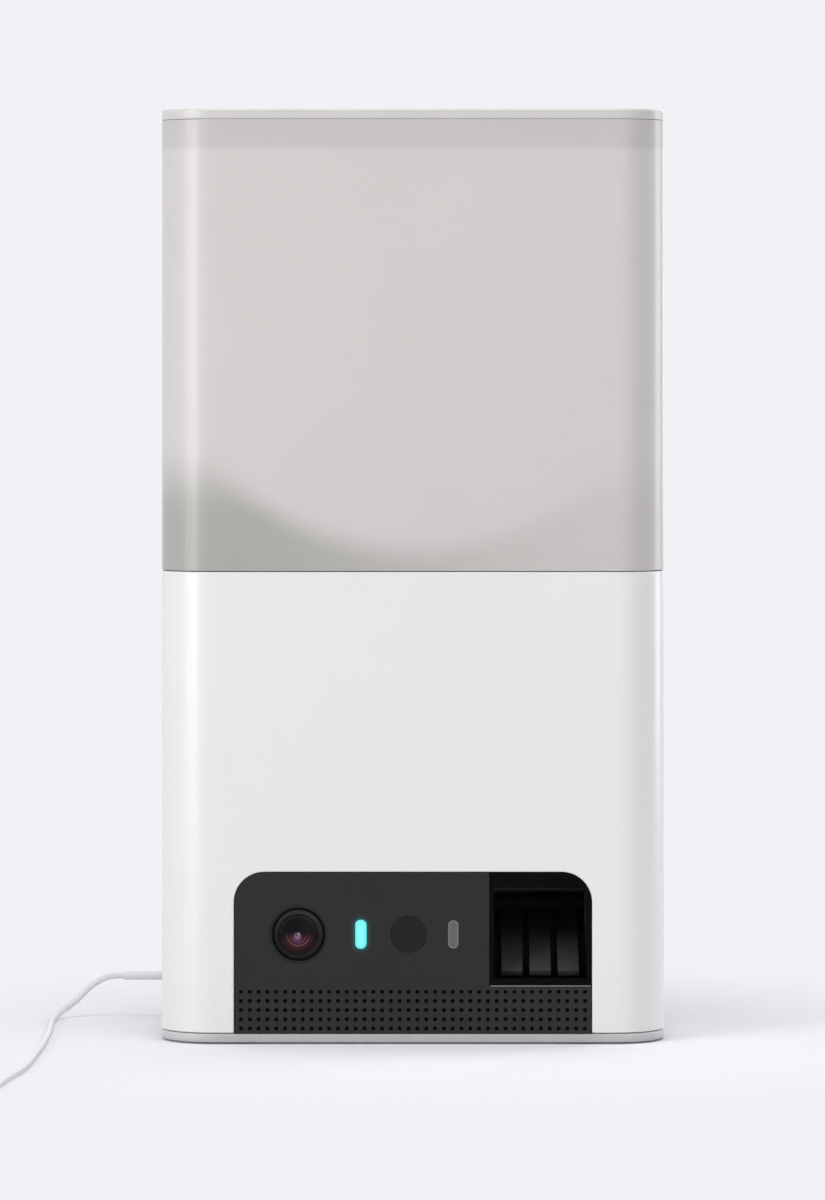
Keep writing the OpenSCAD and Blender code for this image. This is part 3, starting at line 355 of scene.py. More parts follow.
# A material with one Principled shader
class MaterialSheet(Sheet):
    def __init__(self, name):
        self.material = bpy.data.materials.new(name)
        super().__init__(self.material, "ShaderNodeOutputMaterial")
        self.shader = self.tree.nodes.new("ShaderNodeBsdfPrincipled")
        self.tree.links.new(self.shader.outputs[0], self.output.inputs[0])

    def finish(self, **values):
        for key, value in values.items():
            self.put(self.shader.inputs[key.replace("_", " ")], value)
        return self.material

    def place(self, centre=(0, 0, 0), scale=(1, 1, 1)):
        where = self.node("ShaderNodeTexCoord", output="Object")
        shift = tuple(-c * mm * s for c, s in zip(centre, scale))
        return self.node("ShaderNodeMapping", {}, {"Vector": where, "Location": shift, "Scale": scale})

    def axes(self, centre=(0, 0, 0)):
        split = self.node("ShaderNodeSeparateXYZ", {}, {0: self.place(centre)}).plug.node
        return [Socket(self, split.outputs[i]) for i in range(3)]

    def noise(self, where, scale, detail=2.0):
        return self.node("ShaderNodeTexNoise", {}, {"Vector": where, "Scale": scale, "Detail": detail})

    def mix(self, factor, first, second):
        return self.node("ShaderNodeMix", {"data_type": "RGBA"}, {0: factor, 6: first, 7: second}, output=2)

    # The distance is in millimetres
    def bump(self, height, strength, distance):
        inputs = {"Height": height, "Strength": strength, "Distance": distance * mm}
        return self.node("ShaderNodeBump", {}, inputs)


def grey(level):
    return (level, level, level)


def shade(colour, factor):
    return tuple(min(1.0, c * factor) for c in colour)


# Distance from the middle, in two directions
def reach(a, b):
    return (a * a + b * b) ** 0.5


# Distance from the middle line of an upright bar with round ends: across it, and beyond its straight part
def fromBarLine(x, z, straight):
    beyond = (z.size() - straight / 2 * mm).atLeast(0.0)
    return reach(x, beyond)


# Moulded plastic: a slow drift of tone, a fine spark-eroded grain in the bump, and uneven gloss
def mouldedPlastic(name, colour, roughness=0.4, grain=0.25, grainScale=900, spread=0.03, **more):
    sheet = MaterialSheet(name)
    where = sheet.place()
    slow = sheet.noise(where, 14, 3)
    fine = sheet.noise(where, grainScale)
    tone = sheet.mix(slow.fade(0.3, 0.7), shade(colour, 1 - spread), shade(colour, 1 + spread))
    gloss = roughness + (slow - 0.5) * 0.06 + (fine - 0.5) * 0.08
    return sheet.finish(Base_Color=tone, Roughness=gloss, Normal=sheet.bump(fine, grain, 0.02), **more)


# Drawn steel: noise stretched upwards gives fine lines to the tone, gloss and bump
def drawnMetal(name, colour, roughness):
    sheet = MaterialSheet(name)
    lines = sheet.noise(sheet.place(scale=(1, 1, 0.05)), 1800, 3)
    tone = sheet.mix(lines, shade(colour, 0.85), shade(colour, 1.1))
    return sheet.finish(Base_Color=tone, Metallic=1.0, Roughness=roughness + (lines - 0.5) * 0.2,
                        Normal=sheet.bump(lines, 0.12, 0.01))


# Places and radii on the front, in millimetres
face = {
    "lensX": -30.1, "z": 28.9, "statusX": -13.7, "infraredX": -1.2, "sensorX": 10.6,
    "barStraight": 4.65, "bezelR": 6.95, "barrelR": 6.5, "glassR": 5.25, "front": -38.0, "lipBack": -34.0,
}


# Glossy white moulding: almost even, with a faint drift of tone and a very fine grain
def whiteShellFinish():
    sheet = MaterialSheet("whiteShell")
    where = sheet.place()
    slow = sheet.noise(where, 9)
    fine = sheet.noise(where, 1400)
    tone = sheet.mix(slow.fade(0.35, 0.65), grey(0.795), grey(0.815))
    return sheet.finish(Base_Color=tone, Roughness=0.27 + fine * 0.06, Normal=sheet.bump(fine, 0.06, 0.01),
                        Coat_Weight=0.5, Coat_Roughness=0.2)


# Tones of the grey band; the lighter tone of its ends is painted light. Where one tone fades to the next is
# in metres, from the middle or the floor.
baseTones = {
    "middle": grey(0.455), "ends": grey(0.58), "litEndsFade": (0.045, 0.062),
    "lowEdge": (0.43, 0.425, 0.455), "lowEdgeFade": (0.0006, 0.0022), "lowEdgeShare": 0.7,
}


# Matt grey band, made lighter towards its ends by painted light, and with a faint violet cast at its lower
# edge
def greyBaseFinish(tones):
    sheet = MaterialSheet("greyBase")
    x, _, z = sheet.axes()
    fine = sheet.noise(sheet.place(), 700)
    # painted light: the band gets lighter towards both ends
    tone = sheet.mix(x.size().fade(*tones["litEndsFade"]), tones["middle"], tones["ends"])
    tone = sheet.mix(z.fade(*tones["lowEdgeFade"], tones["lowEdgeShare"], 0.0), tone, tones["lowEdge"])
    return sheet.finish(Base_Color=tone, Roughness=0.36 + fine * 0.1, Normal=sheet.bump(fine, 0.15, 0.02),
                        Coat_Weight=0.3, Coat_Roughness=0.25)


# Near-black satin plastic with a fine grain, and a little of the status light spilt on it round the bar
def blackPanelFinish():
    sheet = MaterialSheet("blackPanel")
    where = sheet.place()
    fine = sheet.noise(where, 1600, 3)
    slow = sheet.noise(where, 25)
    x, _, z = sheet.axes((face["statusX"], 0, face["z"]))
    spill = fromBarLine(x, z, face["barStraight"]).fade(0.0014, 0.0034, 1.0, 0.0)
    tone = sheet.mix(slow, grey(0.0135), grey(0.016))
    glow = sheet.mix(spill * spill, grey(0.0), (0.004, 0.05, 0.055))
    return sheet.finish(Base_Color=tone, Roughness=0.46 + fine * 0.12, Specular_IOR_Level=0.25,
                        Normal=sheet.bump(fine, 0.2, 0.015), Emission_Color=glow, Emission_Strength=1.0)


# Tones of the treat container, with painted shade under its curved floor, strongest on the left. Where they
# fade is in metres, from the axis of the curved floor.
containerTones = {
    "axis": (0, 0, 200),
    "wall": ((0.735, 0.713, 0.69), (0.755, 0.733, 0.71)),
    "shadeUnderFloor": (0.475, 0.465, 0.435), "floorRadius": (0.0655, 0.0755), "floorHeight": (-0.062, -0.041),
    "shadeLeftToRight": (-0.05, 0.055), "shadeRightShare": 0.25,
    "skirt": (0.60, 0.575, 0.56), "skirtHeight": (0.0348, 0.0362), "skirtShare": 0.6,
}


# Frosted translucent moulding. Painted shade darkens the wall under the curved floor, most of all on the
# left, and behind the wall the lid's skirt shows as a darker band.
def frostedFinish(tones):
    sheet = MaterialSheet("frosted")
    where = sheet.place()
    x, _, z = sheet.axes(tones["axis"])
    slow = sheet.noise(where, 11)
    fine = sheet.noise(where, 1100)
    # painted shade under the curved floor, fading from left to right
    below = reach(x, z).fade(*tones["floorRadius"]) * z.fade(*tones["floorHeight"], 1.0, 0.0)
    skirt = z.fade(*tones["skirtHeight"])
    clear = sheet.mix(slow.fade(0.3, 0.7), *tones["wall"])
    shadeSideways = x.fade(*tones["shadeLeftToRight"], 1.0, tones["shadeRightShare"])
    tone = sheet.mix(below * shadeSideways, clear, tones["shadeUnderFloor"])
    tone = sheet.mix(skirt * tones["skirtShare"], tone, tones["skirt"])
    return sheet.finish(Base_Color=tone, Roughness=0.36 + fine * 0.08, Normal=sheet.bump(fine, 0.1, 0.012),
                        Transmission_Weight=0.2, IOR=1.45, Coat_Weight=0.5, Coat_Roughness=0.2)


# Lit diffuser, a little brighter along its middle
def statusLightFinish():
    sheet = MaterialSheet("statusLight")
    x, _, z = sheet.axes((face["statusX"], 0, face["z"]))
    glow = fromBarLine(x, z, face["barStraight"]).fade(0.0004, 0.0016, 1.0, 0.0)
    colour = sheet.mix(glow, (0.13, 0.80, 0.82), (0.235, 0.97, 0.965))
    return sheet.finish(Base_Color=(0.02, 0.06, 0.06), Emission_Color=colour, Emission_Strength=0.97,
                        Roughness=0.3, Specular_IOR_Level=0.2)


# Grey diffuser bar with a slightly lighter rim
def sensorFinish():
    sheet = MaterialSheet("sensorBar")
    x, _, z = sheet.axes((face["sensorX"], 0, face["z"]))
    rim = fromBarLine(x, z, face["barStraight"]).fade(0.0006, 0.0013)
    fine = sheet.noise(sheet.place(), 900)
    return sheet.finish(Base_Color=sheet.mix(rim, grey(0.115), grey(0.16)),
                        Roughness=0.4 + fine * 0.1, Specular_IOR_Level=0.3)


# Dark window with a faint softer rim
def windowFinish():
    sheet = MaterialSheet("infraredWindow")
    x, _, z = sheet.axes((face["infraredX"], 0, face["z"]))
    rim = reach(x, z).fade(0.0038, 0.0047)
    return sheet.finish(Base_Color=sheet.mix(rim, grey(0.0055), grey(0.009)),
                        Roughness=0.45 + rim * 0.1, Specular_IOR_Level=0.2)


# Black ring with an even, barely glossy surface; its near-black colour is partly painted shade, standing in
# for the shadow of the groove round the lens
def lensRingFinish():
    sheet = MaterialSheet("lensRing")
    fine = sheet.noise(sheet.place(), 900)
    return sheet.finish(Base_Color=grey(0.0012), Roughness=0.45 + fine * 0.08,
                        Specular_IOR_Level=0.06)


# Dark anodised cone with very fine turned lines round the lens, made lighter towards the top by painted
# light, and black on its outer rim by painted shade in the gap to the ring
def lensMetalFinish():
    sheet = MaterialSheet("lensMetal")
    x, _, z = sheet.axes((face["lensX"], 0, face["z"]))
    r = reach(x, z)
    lines = (r * 42000).wave() * 0.5 + 0.5
    # painted light: the cone is lighter towards the top
    tone = sheet.mix(z.fade(-0.003, 0.0065), (0.006, 0.006, 0.005), grey(0.034))
    tone = sheet.mix(lines * 0.12, tone, grey(0.02))
    # painted shade: black outer rim beside the ring
    tone = sheet.mix(r.fade(0.0063, 0.00645), tone, grey(0.0012))
    return sheet.finish(Base_Color=tone, Roughness=0.5, Specular_IOR_Level=0.1,
                        Normal=sheet.bump(lines, 0.05, 0.01))


# Painted reflections in the lower half, as the coated elements inside would show them: radius, width,
# strength and colour of each ring, and the offset in millimetres, inner and outer radius, strength and colour
# of each spot
paintedReflections = {
    "rings": [
        (0.0021, 0.0005, 0.8, (0.13, 0.05, 0.13)),
        (0.0030, 0.00035, 0.75, (0.19, 0.085, 0.09)),
        (0.0038, 0.0002, 0.5, (0.10, 0.03, 0.03)),
    ],
    "spots": [
        (-0.25, -0.55, 0.0, 0.0015, 0.85, (0.30, 0.17, 0.30)),
        (-0.15, -0.05, 0.0003, 0.0006, 0.8, (0.01, 0.008, 0.012)),
        (0.05, 0.05, 0.0001, 0.00042, 0.7, (0.62, 0.58, 0.62)),
    ],
}


# Coated glass: dark, with painted reflections of the coated elements inside: purple and deep red arcs
# gathered in the lower half, a faint grey highlight arc near the top, and a painted pale glint by the middle
def lensGlassFinish():
    sheet = MaterialSheet("lensGlass")
    x, _, z = sheet.axes((face["lensX"], 0, face["z"]))
    r = reach(x, z)
    low = z.fade(-0.0026, 0.0008, 1.0, 0.0)

    def ringAt(radius, width):
        return (r - radius).size().fade(0.0, width, 1.0, 0.0)

    # painted reflection: a reddish sheen in the lower half, growing outwards
    depth = low * r.fade(0.0012, 0.0048, 0.9, 0.25)
    colour = sheet.mix(depth, (0.0035, 0.0035, 0.0045), (0.06, 0.014, 0.016))
    # painted highlight: a faint grey arc near the rim at the top
    colour = sheet.mix(ringAt(0.0046, 0.0005) * z.fade(0.001, 0.004) * 0.6, colour, (0.02, 0.02, 0.021))
    for radius, width, strength, tint in paintedReflections["rings"]:
        colour = sheet.mix(ringAt(radius, width) * low * strength, colour, tint)
    # painted reflections: a purple spot, a dark dot and a pale glint
    for dx, dz, core, radius, strength, tint in paintedReflections["spots"]:
        spot = reach(x - dx * mm, z - dz * mm).fade(core, radius, 1.0, 0.0)
        colour = sheet.mix(spot * strength, colour, tint)
    return sheet.finish(Base_Color=colour, Roughness=0.22, IOR=1.5, Specular_IOR_Level=0.08)


# Very dark lining of the treat outlet: darkest on its front edge, and lifted by painted light deep inside,
# where less light comes
def chamberFinish():
    sheet = MaterialSheet("outletLining")
    y = sheet.axes((0, face["front"], 0))[1]
    fine = sheet.noise(sheet.place(), 800)
    tone = sheet.mix(y.fade(0.0002, 0.001), grey(0.004), grey(0.0085))
    # painted light: lighter deep inside, where the lamps hardly reach
    tone = sheet.mix(y.fade(0.010, 0.026), tone, grey(0.12))
    return sheet.finish(Base_Color=tone, Roughness=0.75 + fine * 0.1, Specular_IOR_Level=0.025,
                        Normal=sheet.bump(fine, 0.15, 0.02))


# Tossing bars: charcoal, lifted a little above their lower ends by painted light, and darkened to almost
# black towards the shaft by painted shade
def paddleFinish():
    sheet = MaterialSheet("tossBars")
    z = sheet.axes()[2]
    fine = sheet.noise(sheet.place(), 700)
    # painted light: a little lighter just above the lower ends
    tone = sheet.mix(z.fade(0.0165, 0.022), grey(0.050), grey(0.060))
    # painted shade: almost black towards the shaft
    tone = sheet.mix(z.fade(0.0215, 0.0295), tone, grey(0.010))
    return sheet.finish(Base_Color=tone, Roughness=z.fade(0.02, 0.03, 0.5, 0.85) + fine * 0.1,
                        Specular_IOR_Level=0.12, Normal=sheet.bump(fine, 0.15, 0.02))


# Plain finishes: colour, gloss, and how deep and how fine the grain is
plastics = {
    "lid_plastic": dict(colour=(0.60, 0.585, 0.57), roughness=0.36, grain=0.12, Coat_Weight=0.4,
                        Coat_Roughness=0.25),
    "silicone": dict(colour=(0.5, 0.49, 0.48), roughness=0.6, grain=0.3, grainScale=500),
    "foot_rubber": dict(colour=(0.16, 0.16, 0.17), roughness=0.75, grain=0.6, grainScale=400),
    "black_cloth": dict(colour=grey(0.005), roughness=0.9, grain=0.8, grainScale=300),
    "black_plastic": dict(colour=grey(0.012), roughness=0.45),
    "circuit_board": dict(colour=(0.02, 0.10, 0.05), roughness=0.35, grain=0.3, grainScale=250, spread=0.15),
    "gear_plastic": dict(colour=(0.74, 0.72, 0.67), roughness=0.38),
    "inner_plastic": dict(colour=(0.55, 0.54, 0.52), roughness=0.5),
    "button_plastic": dict(colour=grey(0.72), roughness=0.35),
    "cord_jacket": dict(colour=(0.70, 0.70, 0.71), roughness=0.42, grain=0.15),
}
finishes = {name: mouldedPlastic(name, **values) for name, values in plastics.items()}
finishes["steel"] = drawnMetal("steel", (0.55, 0.55, 0.57), 0.42)
finishes["motor_metal"] = drawnMetal("motorMetal", (0.55, 0.55, 0.57), 0.36)
finishes["white_plastic"] = whiteShellFinish()
finishes["grey_base"] = greyBaseFinish(baseTones)
finishes["black_panel"] = blackPanelFinish()
finishes["frosted"] = frostedFinish(containerTones)
finishes["status_blue"] = statusLightFinish()
finishes["sensor_grey"] = sensorFinish()
finishes["infrared_dark"] = windowFinish()
finishes["lens_ring"] = lensRingFinish()
finishes["lens_metal"] = lensMetalFinish()
finishes["lens_glass"] = lensGlassFinish()
finishes["paddle_plastic"] = paddleFinish()
outletLining = chamberFinish()
# Near-black steel for the paddle shaft: painted shade that sinks it into the dark of the outlet
darkSteel = drawnMetal("darkSteel", (0.03, 0.03, 0.032), 0.6)

slotOf = {part["node"]: part["material_slot"] for part in frame["record"]["subparts"]}
for node, slot in slotOf.items():
    cadNodes[node].data.materials.clear()
    cadNodes[node].data.materials.append(finishes[slot])
cadNodes["toss_chamber"].data.materials[0] = outletLining
cadNodes["paddle_shaft"].data.materials[0] = darkSteel
print("finishes ready:", len(finishes) + 2)

# Charging cord, in millimetres but for its length in metres
cordFacts = {
    "start": (-79.1, 30.0),  # where the sleeve ends, and the routes are counted from
    "radius": 0.85,
    "sides": 14,
    "steps": 4,              # rings between two points of a route
    "coilCentre": (-40.15, -180.0),
    "coilR": 16.65,
    "pitch": 2.15,
    "layers": 4,
    "layerLoops": 6,
    "loopRings": 40,         # rings in a loop
    "restZ": 0.9,
    "length": 1.75,
    "exitZ": 11.1,
}
# From the sleeve down to the floor and back to the coil, and from the coil to the far plug
cordRoute = [
    [-0.05, 0, 11.1], [-2, 0, 11.1], [-4.9, 0, 10.6], [-8.9, -0.3, 8.4], [-12.4, -1.2, 5],
    [-15.5, -3.4, 2.6], [-17.5, -7.5, 1.4], [-18.5, -14, 1], [-18.6, -25, 0.9], [-18.1, -40, 0.9],
    [-17.8, -60, 0.9], [-17.9, -80, 0.9], [-18.2, -98, 0.9], [-18.6, -116, 0.9],
    [-19.7, -134, 0.9], [-21.7, -150, 0.9], [-23.1, -164, 0.9], [-23.5, -172, 0.9],
    [-23.5, -178.3, 0.9],
]
tailRoute = [
    [-55.725, -178.3, 7.35], [-55.725, -176, 7.35], [-55.7, -172, 6.7], [-55.7, -166, 4.8],
    [-55.7, -160, 3.7], [-55.7, -154.4, 3.4], [-55.7, -152, 3.4],
]


# The smooth curve through the points: between two of them, a cubic that leaves each along the line
# between its neighbours
def smoothRoute(points, steps):
    p = np.asarray(points, float)
    padded = np.vstack([p[:1], p, p[-1:]])
    p0, p1, p2, p3 = padded[:-3, None], padded[1:-2, None], padded[2:-1, None], padded[3:, None]
    t = (np.arange(steps) / steps)[None, :, None]
    curve = 0.5 * (2 * p1 + (p2 - p0) * t + (2 * p0 - 5 * p1 + 4 * p2 - p3) * t**2
                   + (3 * p1 - p0 - 3 * p2 + p3) * t**3)
    return np.vstack([curve.reshape(-1, 3), p[-1:]])


# Clockwise loops about the coil's middle: the radius goes in on one layer and out on the next at a steady
# rate, and the height climbs a layer in the half turn where the spiral reverses
def coilPath(facts):
    span, layers = facts["layerLoops"], facts["layers"]
    loops = np.arange(int((span * layers - 0.5) * facts["loopRings"]) + 1) / facts["loopRings"]
    part = loops % (2 * span)
    radius = facts["coilR"] - facts["pitch"] * np.minimum(part, 2 * span - part)
    turn = loops / span
    near = np.round(turn)
    off = (turn - near) * span
    climbing = (np.abs(off) <= 0.25) & (near > 0) & (near < layers)
    layer = np.where(climbing, near - 0.5 + 2 * off, np.minimum(np.floor(turn), layers - 1))
    angle = -2 * math.pi * loops
    x = facts["coilCentre"][0] + radius * np.cos(angle)
    y = facts["coilCentre"][1] + radius * np.sin(angle)
    return np.column_stack([x, y, facts["restZ"] + facts["pitch"] * layer])


# A round tube: each ring stands square to the path, between a level side direction and the one across both
def tubeAlong(name, path, radius, sides):
    way = np.gradient(path, axis=0)
    way /= np.linalg.norm(way, axis=1, keepdims=True)
    side = np.cross(way, [0, 0, 1.0])
    side /= np.linalg.norm(side, axis=1, keepdims=True)
    up = np.cross(side, way)
    turn = np.linspace(0, 2 * math.pi, sides, endpoint=False)[None, :, None]
    rings = path[:, None] + radius * (np.cos(turn) * side[:, None] + np.sin(turn) * up[:, None])
    return joinLoops(name, rings, 50)


# The whole cord: from the sleeve to the coil, round it, and out to the far plug. Points that fall together
# where two stretches meet are taken once.
def makeCord(facts):
    route = smoothRoute(cordRoute, facts["steps"])
    tail = smoothRoute(tailRoute, facts["steps"])
    path = np.vstack([route, coilPath(facts), tail]) + [*facts["start"], 0]
    apart = np.r_[True, np.linalg.norm(np.diff(path, axis=0), axis=1) > 0.01]
    path = path[apart] * mm
    piece = tubeAlong("powerCord", path, facts["radius"] * mm, facts["sides"])
    return dress(piece, "cord_jacket", replaces=("power_cord", "cord_coil", "cord_tail")), path


sleeve = {
    "start": -60.1, "around": 40,
    # radius and distance from the start: a flared collar with two shallow grooves, then a plain tube
    "collar": [(0, 0), (2.35, 0), (2.6, 0.25), (2.45, 1.4), (2.2, 1.5), (2.15, 2.0), (2.2, 2.2), (2.12, 3.2),
               (1.9, 3.3), (1.85, 3.8), (1.9, 4.0), (1.5, 6.2), (1.15, 7.6), (1.15, 8.6)],
    # radius and distance before the end, which is rounded off
    "tip": [(1.15, 0.5), (1.1, 0.15), (0.95, 0), (0, 0)],
}


# Sleeve at the cord's exit, turned about the cord
def makeSleeve(facts):
    end, y = cordFacts["start"]
    profile = [(r, facts["start"] - d) for r, d in facts["collar"]]
    profile += [(r, end + d) for r, d in facts["tip"]]
    piece = revolve("cordSleeve", (0, y, cordFacts["exitZ"]), profile, "x", facts["around"])
    return dress(piece, "cord_jacket", replaces=("cord_sleeve",))


farPlug = {
    "gripWidth": 15.0, "gripHeight": 6.6, "gripCorner": 1.6, "gripLength": 24.0,
    "shellWidth": 12.0, "shellHeight": 4.5, "shellEnd": 42.7, "wall": 0.3,
    "hollowFrom": 4.0,       # beyond the grip
    "tongueHeight": 1.7, "tongueDrop": 1.0, "tongueShort": 0.7,
}


# Far plug at the tail's end: a moulded grip and a folded steel shell with a tongue
def makeFarPlug(facts):
    x, y, z = np.array(tailRoute[-1]) + [*cordFacts["start"], 0]
    joint, end = y + facts["gripLength"], y + facts["shellEnd"]
    wide, high, wall = facts["shellWidth"], facts["shellHeight"], facts["wall"]
    outline = roundedRectangle(facts["gripWidth"], facts["gripHeight"], facts["gripCorner"], 6, 0.3) + [x, z]
    grip = dress(extrude("plugGrip", outline, y, joint, (1.0, 0.7)), "cord_jacket", replaces=("cord_plug",))
    shell = extrude("plugShell", roundedRectangle(wide, high, 0.4, 3, 0.1) + [x, z], joint - 0.01, end)
    hollow = roundedRectangle(wide - 2 * wall, high - 2 * wall, 0.2, 3, 0.05) + [x, z]
    cutAway(shell, extrude("plugHollow", hollow, joint + facts["hollowFrom"], end + 1))
    bar = roundedRectangle(wide - 0.8, facts["tongueHeight"], 0.1, 2, 0.03) + [x, z - facts["tongueDrop"]]
    tongue = extrude("plugTongue", bar, joint + facts["hollowFrom"] - 0.1, end - facts["tongueShort"])
    return grip, dress(shell, "steel"), dress(tongue, "black_plastic")


powerCord, cordPath = makeCord(cordFacts)
cordSleeve = makeSleeve(sleeve)
plugPieces = makeFarPlug(farPlug)
powerPlug = dress(softCopy("powerPlug", "power_plug", 0.35, 3), "cord_jacket", replaces=("power_plug",))
print("cord laid:", round(float(np.linalg.norm(np.diff(cordPath, axis=0), axis=1).sum()), 3), "m")

body = {"width": 133.0, "depth": 76.0, "corner": 14.0, "cornerSteps": 16}
lid = {
    "rimLow": 243.15, "top": 246.0, "edge": 0.75,
    "skirtLow": 235.7, "skirtInset": 3.4, "skirtWall": 1.8, "round": 0.3,
}


# Lid: a flat cap with a rounded upper edge, and its skirt under it
def makeLid(facts):
    low, top, edge = facts["rimLow"], facts["top"], facts["edge"]
    skirtLow, skirt = facts["skirtLow"], facts["skirtInset"]
    inner, bevel = skirt + facts["skirtWall"], facts["round"]
    bend = np.linspace(0, math.pi / 2, 6)
    profile = [(inner, low), (inner, low - 0.4), (inner, skirtLow + bevel), (inner - bevel, skirtLow),
               (skirt + bevel, skirtLow), (skirt, skirtLow + bevel), (skirt, low - bevel), (skirt, low),
               (skirt - 0.4, low), (0.9, low), (bevel, low), (0.08, low + 0.08), (0, low + bevel),
               (0, low + 0.7), (0, top - edge - 0.3)]
    profile += [(edge * (1 - math.cos(a)), top - edge * (1 - math.sin(a))) for a in bend]
    profile += [(edge + 0.6, top)]
    dress(loftBody("lidCap", profile), "lid_plastic", "lid", ("lid",))


# Pieces that are softened copies of their solids: the width and segments of their rounded edges. The last
# three are under the container, and show when it is lifted.
softPieces = {
    "body_shell": ("whiteShell", 0.3, 3), "treat_container": ("treatContainer", 0.22, 2),
    "base_plate": ("greyBase", 0.45, 3), "front_panel": ("frontPanel", 0, 0),
    "status_light_pipe": ("statusBar", 0.15, 2), "sensor_light_pipe": ("sensorBar", 0.15, 2),
    "infrared_window": ("windowDisc", 0.1, 2), "toss_chamber": ("outletChamber", 0.15, 2),
    "toss_paddle": ("tossBars", 0.3, 2), "reset_button": ("resetCap", 0.3, 3),
    "hopper_deck": ("deckPlate", 0.3, 2), "motor_dome": ("motorHood", 0.6, 2),
    "wheel_cover": ("wheelCover", 0.3, 2),
}
moving = {"treat_container": "container", "toss_paddle": "toss_paddle", "reset_button": "reset_button"}
ownMaterials = {"toss_chamber": outletLining}

makeLid(lid)
for node, (name, width, segments) in softPieces.items():
    dress(softCopy(name, node, width, segments), slotOf[node], moving.get(node, base), (node,),
          ownMaterials.get(node))
print("casings and moving pieces done")

sill = {
    "left": 20.35, "right": 46.75, "low": 15.2, "high": 15.5, "proud": 0.06, "deep": 0.35,
    "corner": 0.1, "frontEdge": 0.05, "tone": 0.15,
}


# Thin light strip along the bottom of the outlet, a painted highlight standing in for the light caught by its
# front edge
def makeSill(facts):
    wide, high = facts["right"] - facts["left"], facts["high"] - facts["low"]
    outline = roundedRectangle(wide, high, facts["corner"], 3, 0.02)
    outline = outline + [(facts["left"] + facts["right"]) / 2, (facts["low"] + facts["high"]) / 2]
    front = face["front"]
    rounding = (facts["frontEdge"], 0)
    edge = extrude("outletEdgeHighlight", outline, front - facts["proud"], front + facts["deep"], rounding)
    # its light grey is a painted highlight
    dress(edge, "black_plastic", material=mouldedPlastic("outletEdgeHighlight", grey(facts["tone"]), 0.4, 0.1))


makeSill(sill)

lens = {
    "proud": 0.12,           # of the ring, before the panel
    "gap": 0.04,             # between ring and cone
    "rise": 0.9,             # of the glass's dome
    "glassProud": 0.15, "glassDepth": 2.15,
    # the cone's radius beyond the glass and its depth, from the glass outwards
    "coneIn": [(0.06, 2.1), (0.06, 0.55), (0.2, 0.45), (0.5, 0.35)],
    # the same before the barrel's outside, then the barrel's own radii and depths
    "coneOut": [(0.35, 0.22), (0.1, 0.2), (0, 0.3), (0, 8)],
    "barrel": [(6, 8.05), (6, 18), (3.45, 18), (3.45, 2.2)],
}


# Lens: a rounded black ring, a turned cone that leads in to the glass, and a domed front glass. The dome is
# part of a sphere through the glass's rim and its highest point.
def makeLens(facts):
    centre = (face["lensX"], 0, face["z"])
    front, back = face["front"], face["lipBack"]
    ring, cone, glass = face["bezelR"], face["barrelR"], face["glassR"]
    hole, ahead = cone + facts["gap"], front - facts["proud"]
    corners = [(hole, ahead), (ring, ahead), (ring, back), (hole, back)]
    bezel = revolve("lensBezel", centre, roundCorners(corners, [0.12, 0.2, 0.1, 0.1]))
    dress(bezel, "lens_ring", replaces=("lens_bezel",))
    profile = [(glass + r, front + d) for r, d in facts["coneIn"]]
    profile += [(cone - r, front + d) for r, d in facts["coneOut"]]
    profile += [(r, front + d) for r, d in facts["barrel"]]
    dress(revolve("lensCone", centre, profile, smoothAngle=30), "lens_metal", replaces=("lens_barrel",))
    dome = (glass**2 + facts["rise"] ** 2) / 2 / facts["rise"]
    radii = np.linspace(0, 1, 20) ** 0.8 * glass * 0.985
    profile = [(r, front - facts["glassProud"] + dome - math.sqrt(dome**2 - r**2)) for r in radii]
    profile += [(glass - 0.02, front + 0.73), (glass, front + 0.85), (glass, front + facts["glassDepth"]),
                (0, front + facts["glassDepth"])]
    dress(revolve("lensGlass", centre, profile), "lens_glass", replaces=("lens_glass",))


makeLens(lens)
print("front done")

studio = {
    "background": (0.887, 0.879, 0.921),
    "floorSize": 4.0,
    "nearReach": 0.065,      # the floor fades into the background between these two
    "farReach": 0.20,
    "worldLight": 0.30,
    "aim": (0, 0, 0.12),     # what the lamps point at
}

# Where each lamp stands, in degrees and metres, its size and its power. Azimuth 0 is in front of the
# object, and positive goes to the right.
lamps = {
    "keyLeft": dict(azimuth=-45, elevation=8, distance=1.1, width=0.3, height=1.3, power=5.2),
    "leftStrip": dict(azimuth=-60, elevation=6, distance=1.1, width=0.16, height=1.3, power=2.2),
    "keyRight": dict(azimuth=25, elevation=15, distance=1.3, width=0.8, height=1.2, power=2.4),
    "rightRim": dict(azimuth=118, elevation=8, distance=1.1, width=0.4, height=1.2, power=3.8),
    "topLamp": dict(azimuth=0, elevation=80, distance=1.3, width=1.0, height=0.8, power=10),
    "backFill": dict(azimuth=170, elevation=20, distance=1.5, width=1.0, height=1.2, power=4),
}


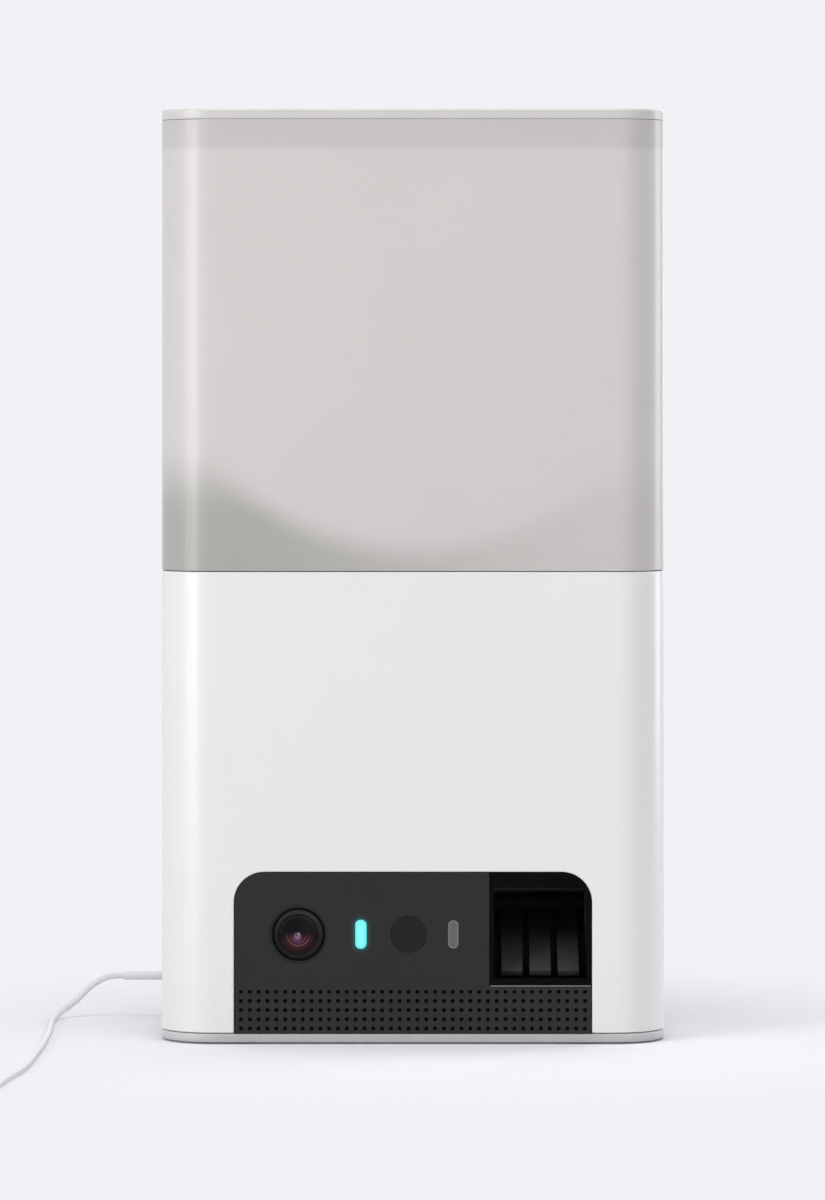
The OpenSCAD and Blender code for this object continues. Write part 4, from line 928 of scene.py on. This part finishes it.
# Pale floor: near the object it is a plain matt surface that takes its shadow, and further out it shows
# the background's own colour
def makeFloor(facts):
    size = facts["floorSize"]
    corners = [[-size, -size, 0], [size, -size, 0], [size, size, 0], [-size, size, 0]]
    floor = addPiece("floor", corners, [[0, 1, 2, 3]])
    sheet = MaterialSheet("floorFinish")
    sheet.finish(Base_Color=facts["background"], Roughness=0.9, Specular_IOR_Level=0.0)
    x, y, _ = sheet.axes()
    far = reach(x, y).fade(facts["nearReach"], facts["farReach"])
    plain = sheet.node("ShaderNodeEmission", {}, {"Color": facts["background"], "Strength": 1.0})
    matt = Socket(sheet, sheet.shader.outputs[0])
    both = sheet.node("ShaderNodeMixShader", {}, {0: sheet.seen(far), 1: matt, 2: plain})
    sheet.put(sheet.output.inputs[0], both)
    floor.data.materials.append(sheet.material)


# White light from all round, and the background's colour where a ray shows it
def makeWorld(facts):
    world = bpy.data.worlds.new("studio")
    bpy.context.scene.world = world
    sheet = Sheet(world, "ShaderNodeOutputWorld")
    light = sheet.node("ShaderNodeBackground", {}, {0: grey(1.0), 1: facts["worldLight"]})
    pale = sheet.node("ShaderNodeBackground", {}, {0: facts["background"], 1: 1.0})
    both = sheet.node("ShaderNodeMixShader", {}, {0: sheet.seen(), 1: light, 2: pale})
    sheet.put(sheet.output.inputs[0], both)


# A rectangular lamp that stands off its aim by a distance and faces it
def softLamp(name, azimuth, elevation, distance, width, height, power):
    lamp = bpy.data.lights.new(name, "AREA")
    lamp.shape = "RECTANGLE"
    lamp.size, lamp.size_y, lamp.energy = width, height, power
    piece = bpy.data.objects.new(name, lamp)
    a, e = math.radians(azimuth), math.radians(elevation)
    away = Vector((math.sin(a) * math.cos(e), -math.cos(a) * math.cos(e), math.sin(e)))
    piece.location = Vector(studio["aim"]) + distance * away
    piece.rotation_euler = away.to_track_quat("Z", "Y").to_euler()
    bpy.context.collection.objects.link(piece)


makeFloor(studio)
makeWorld(studio)
for name, values in lamps.items():
    softLamp(name, **values)
bpy.context.scene.view_settings.view_transform = "Standard"
print("stage done")
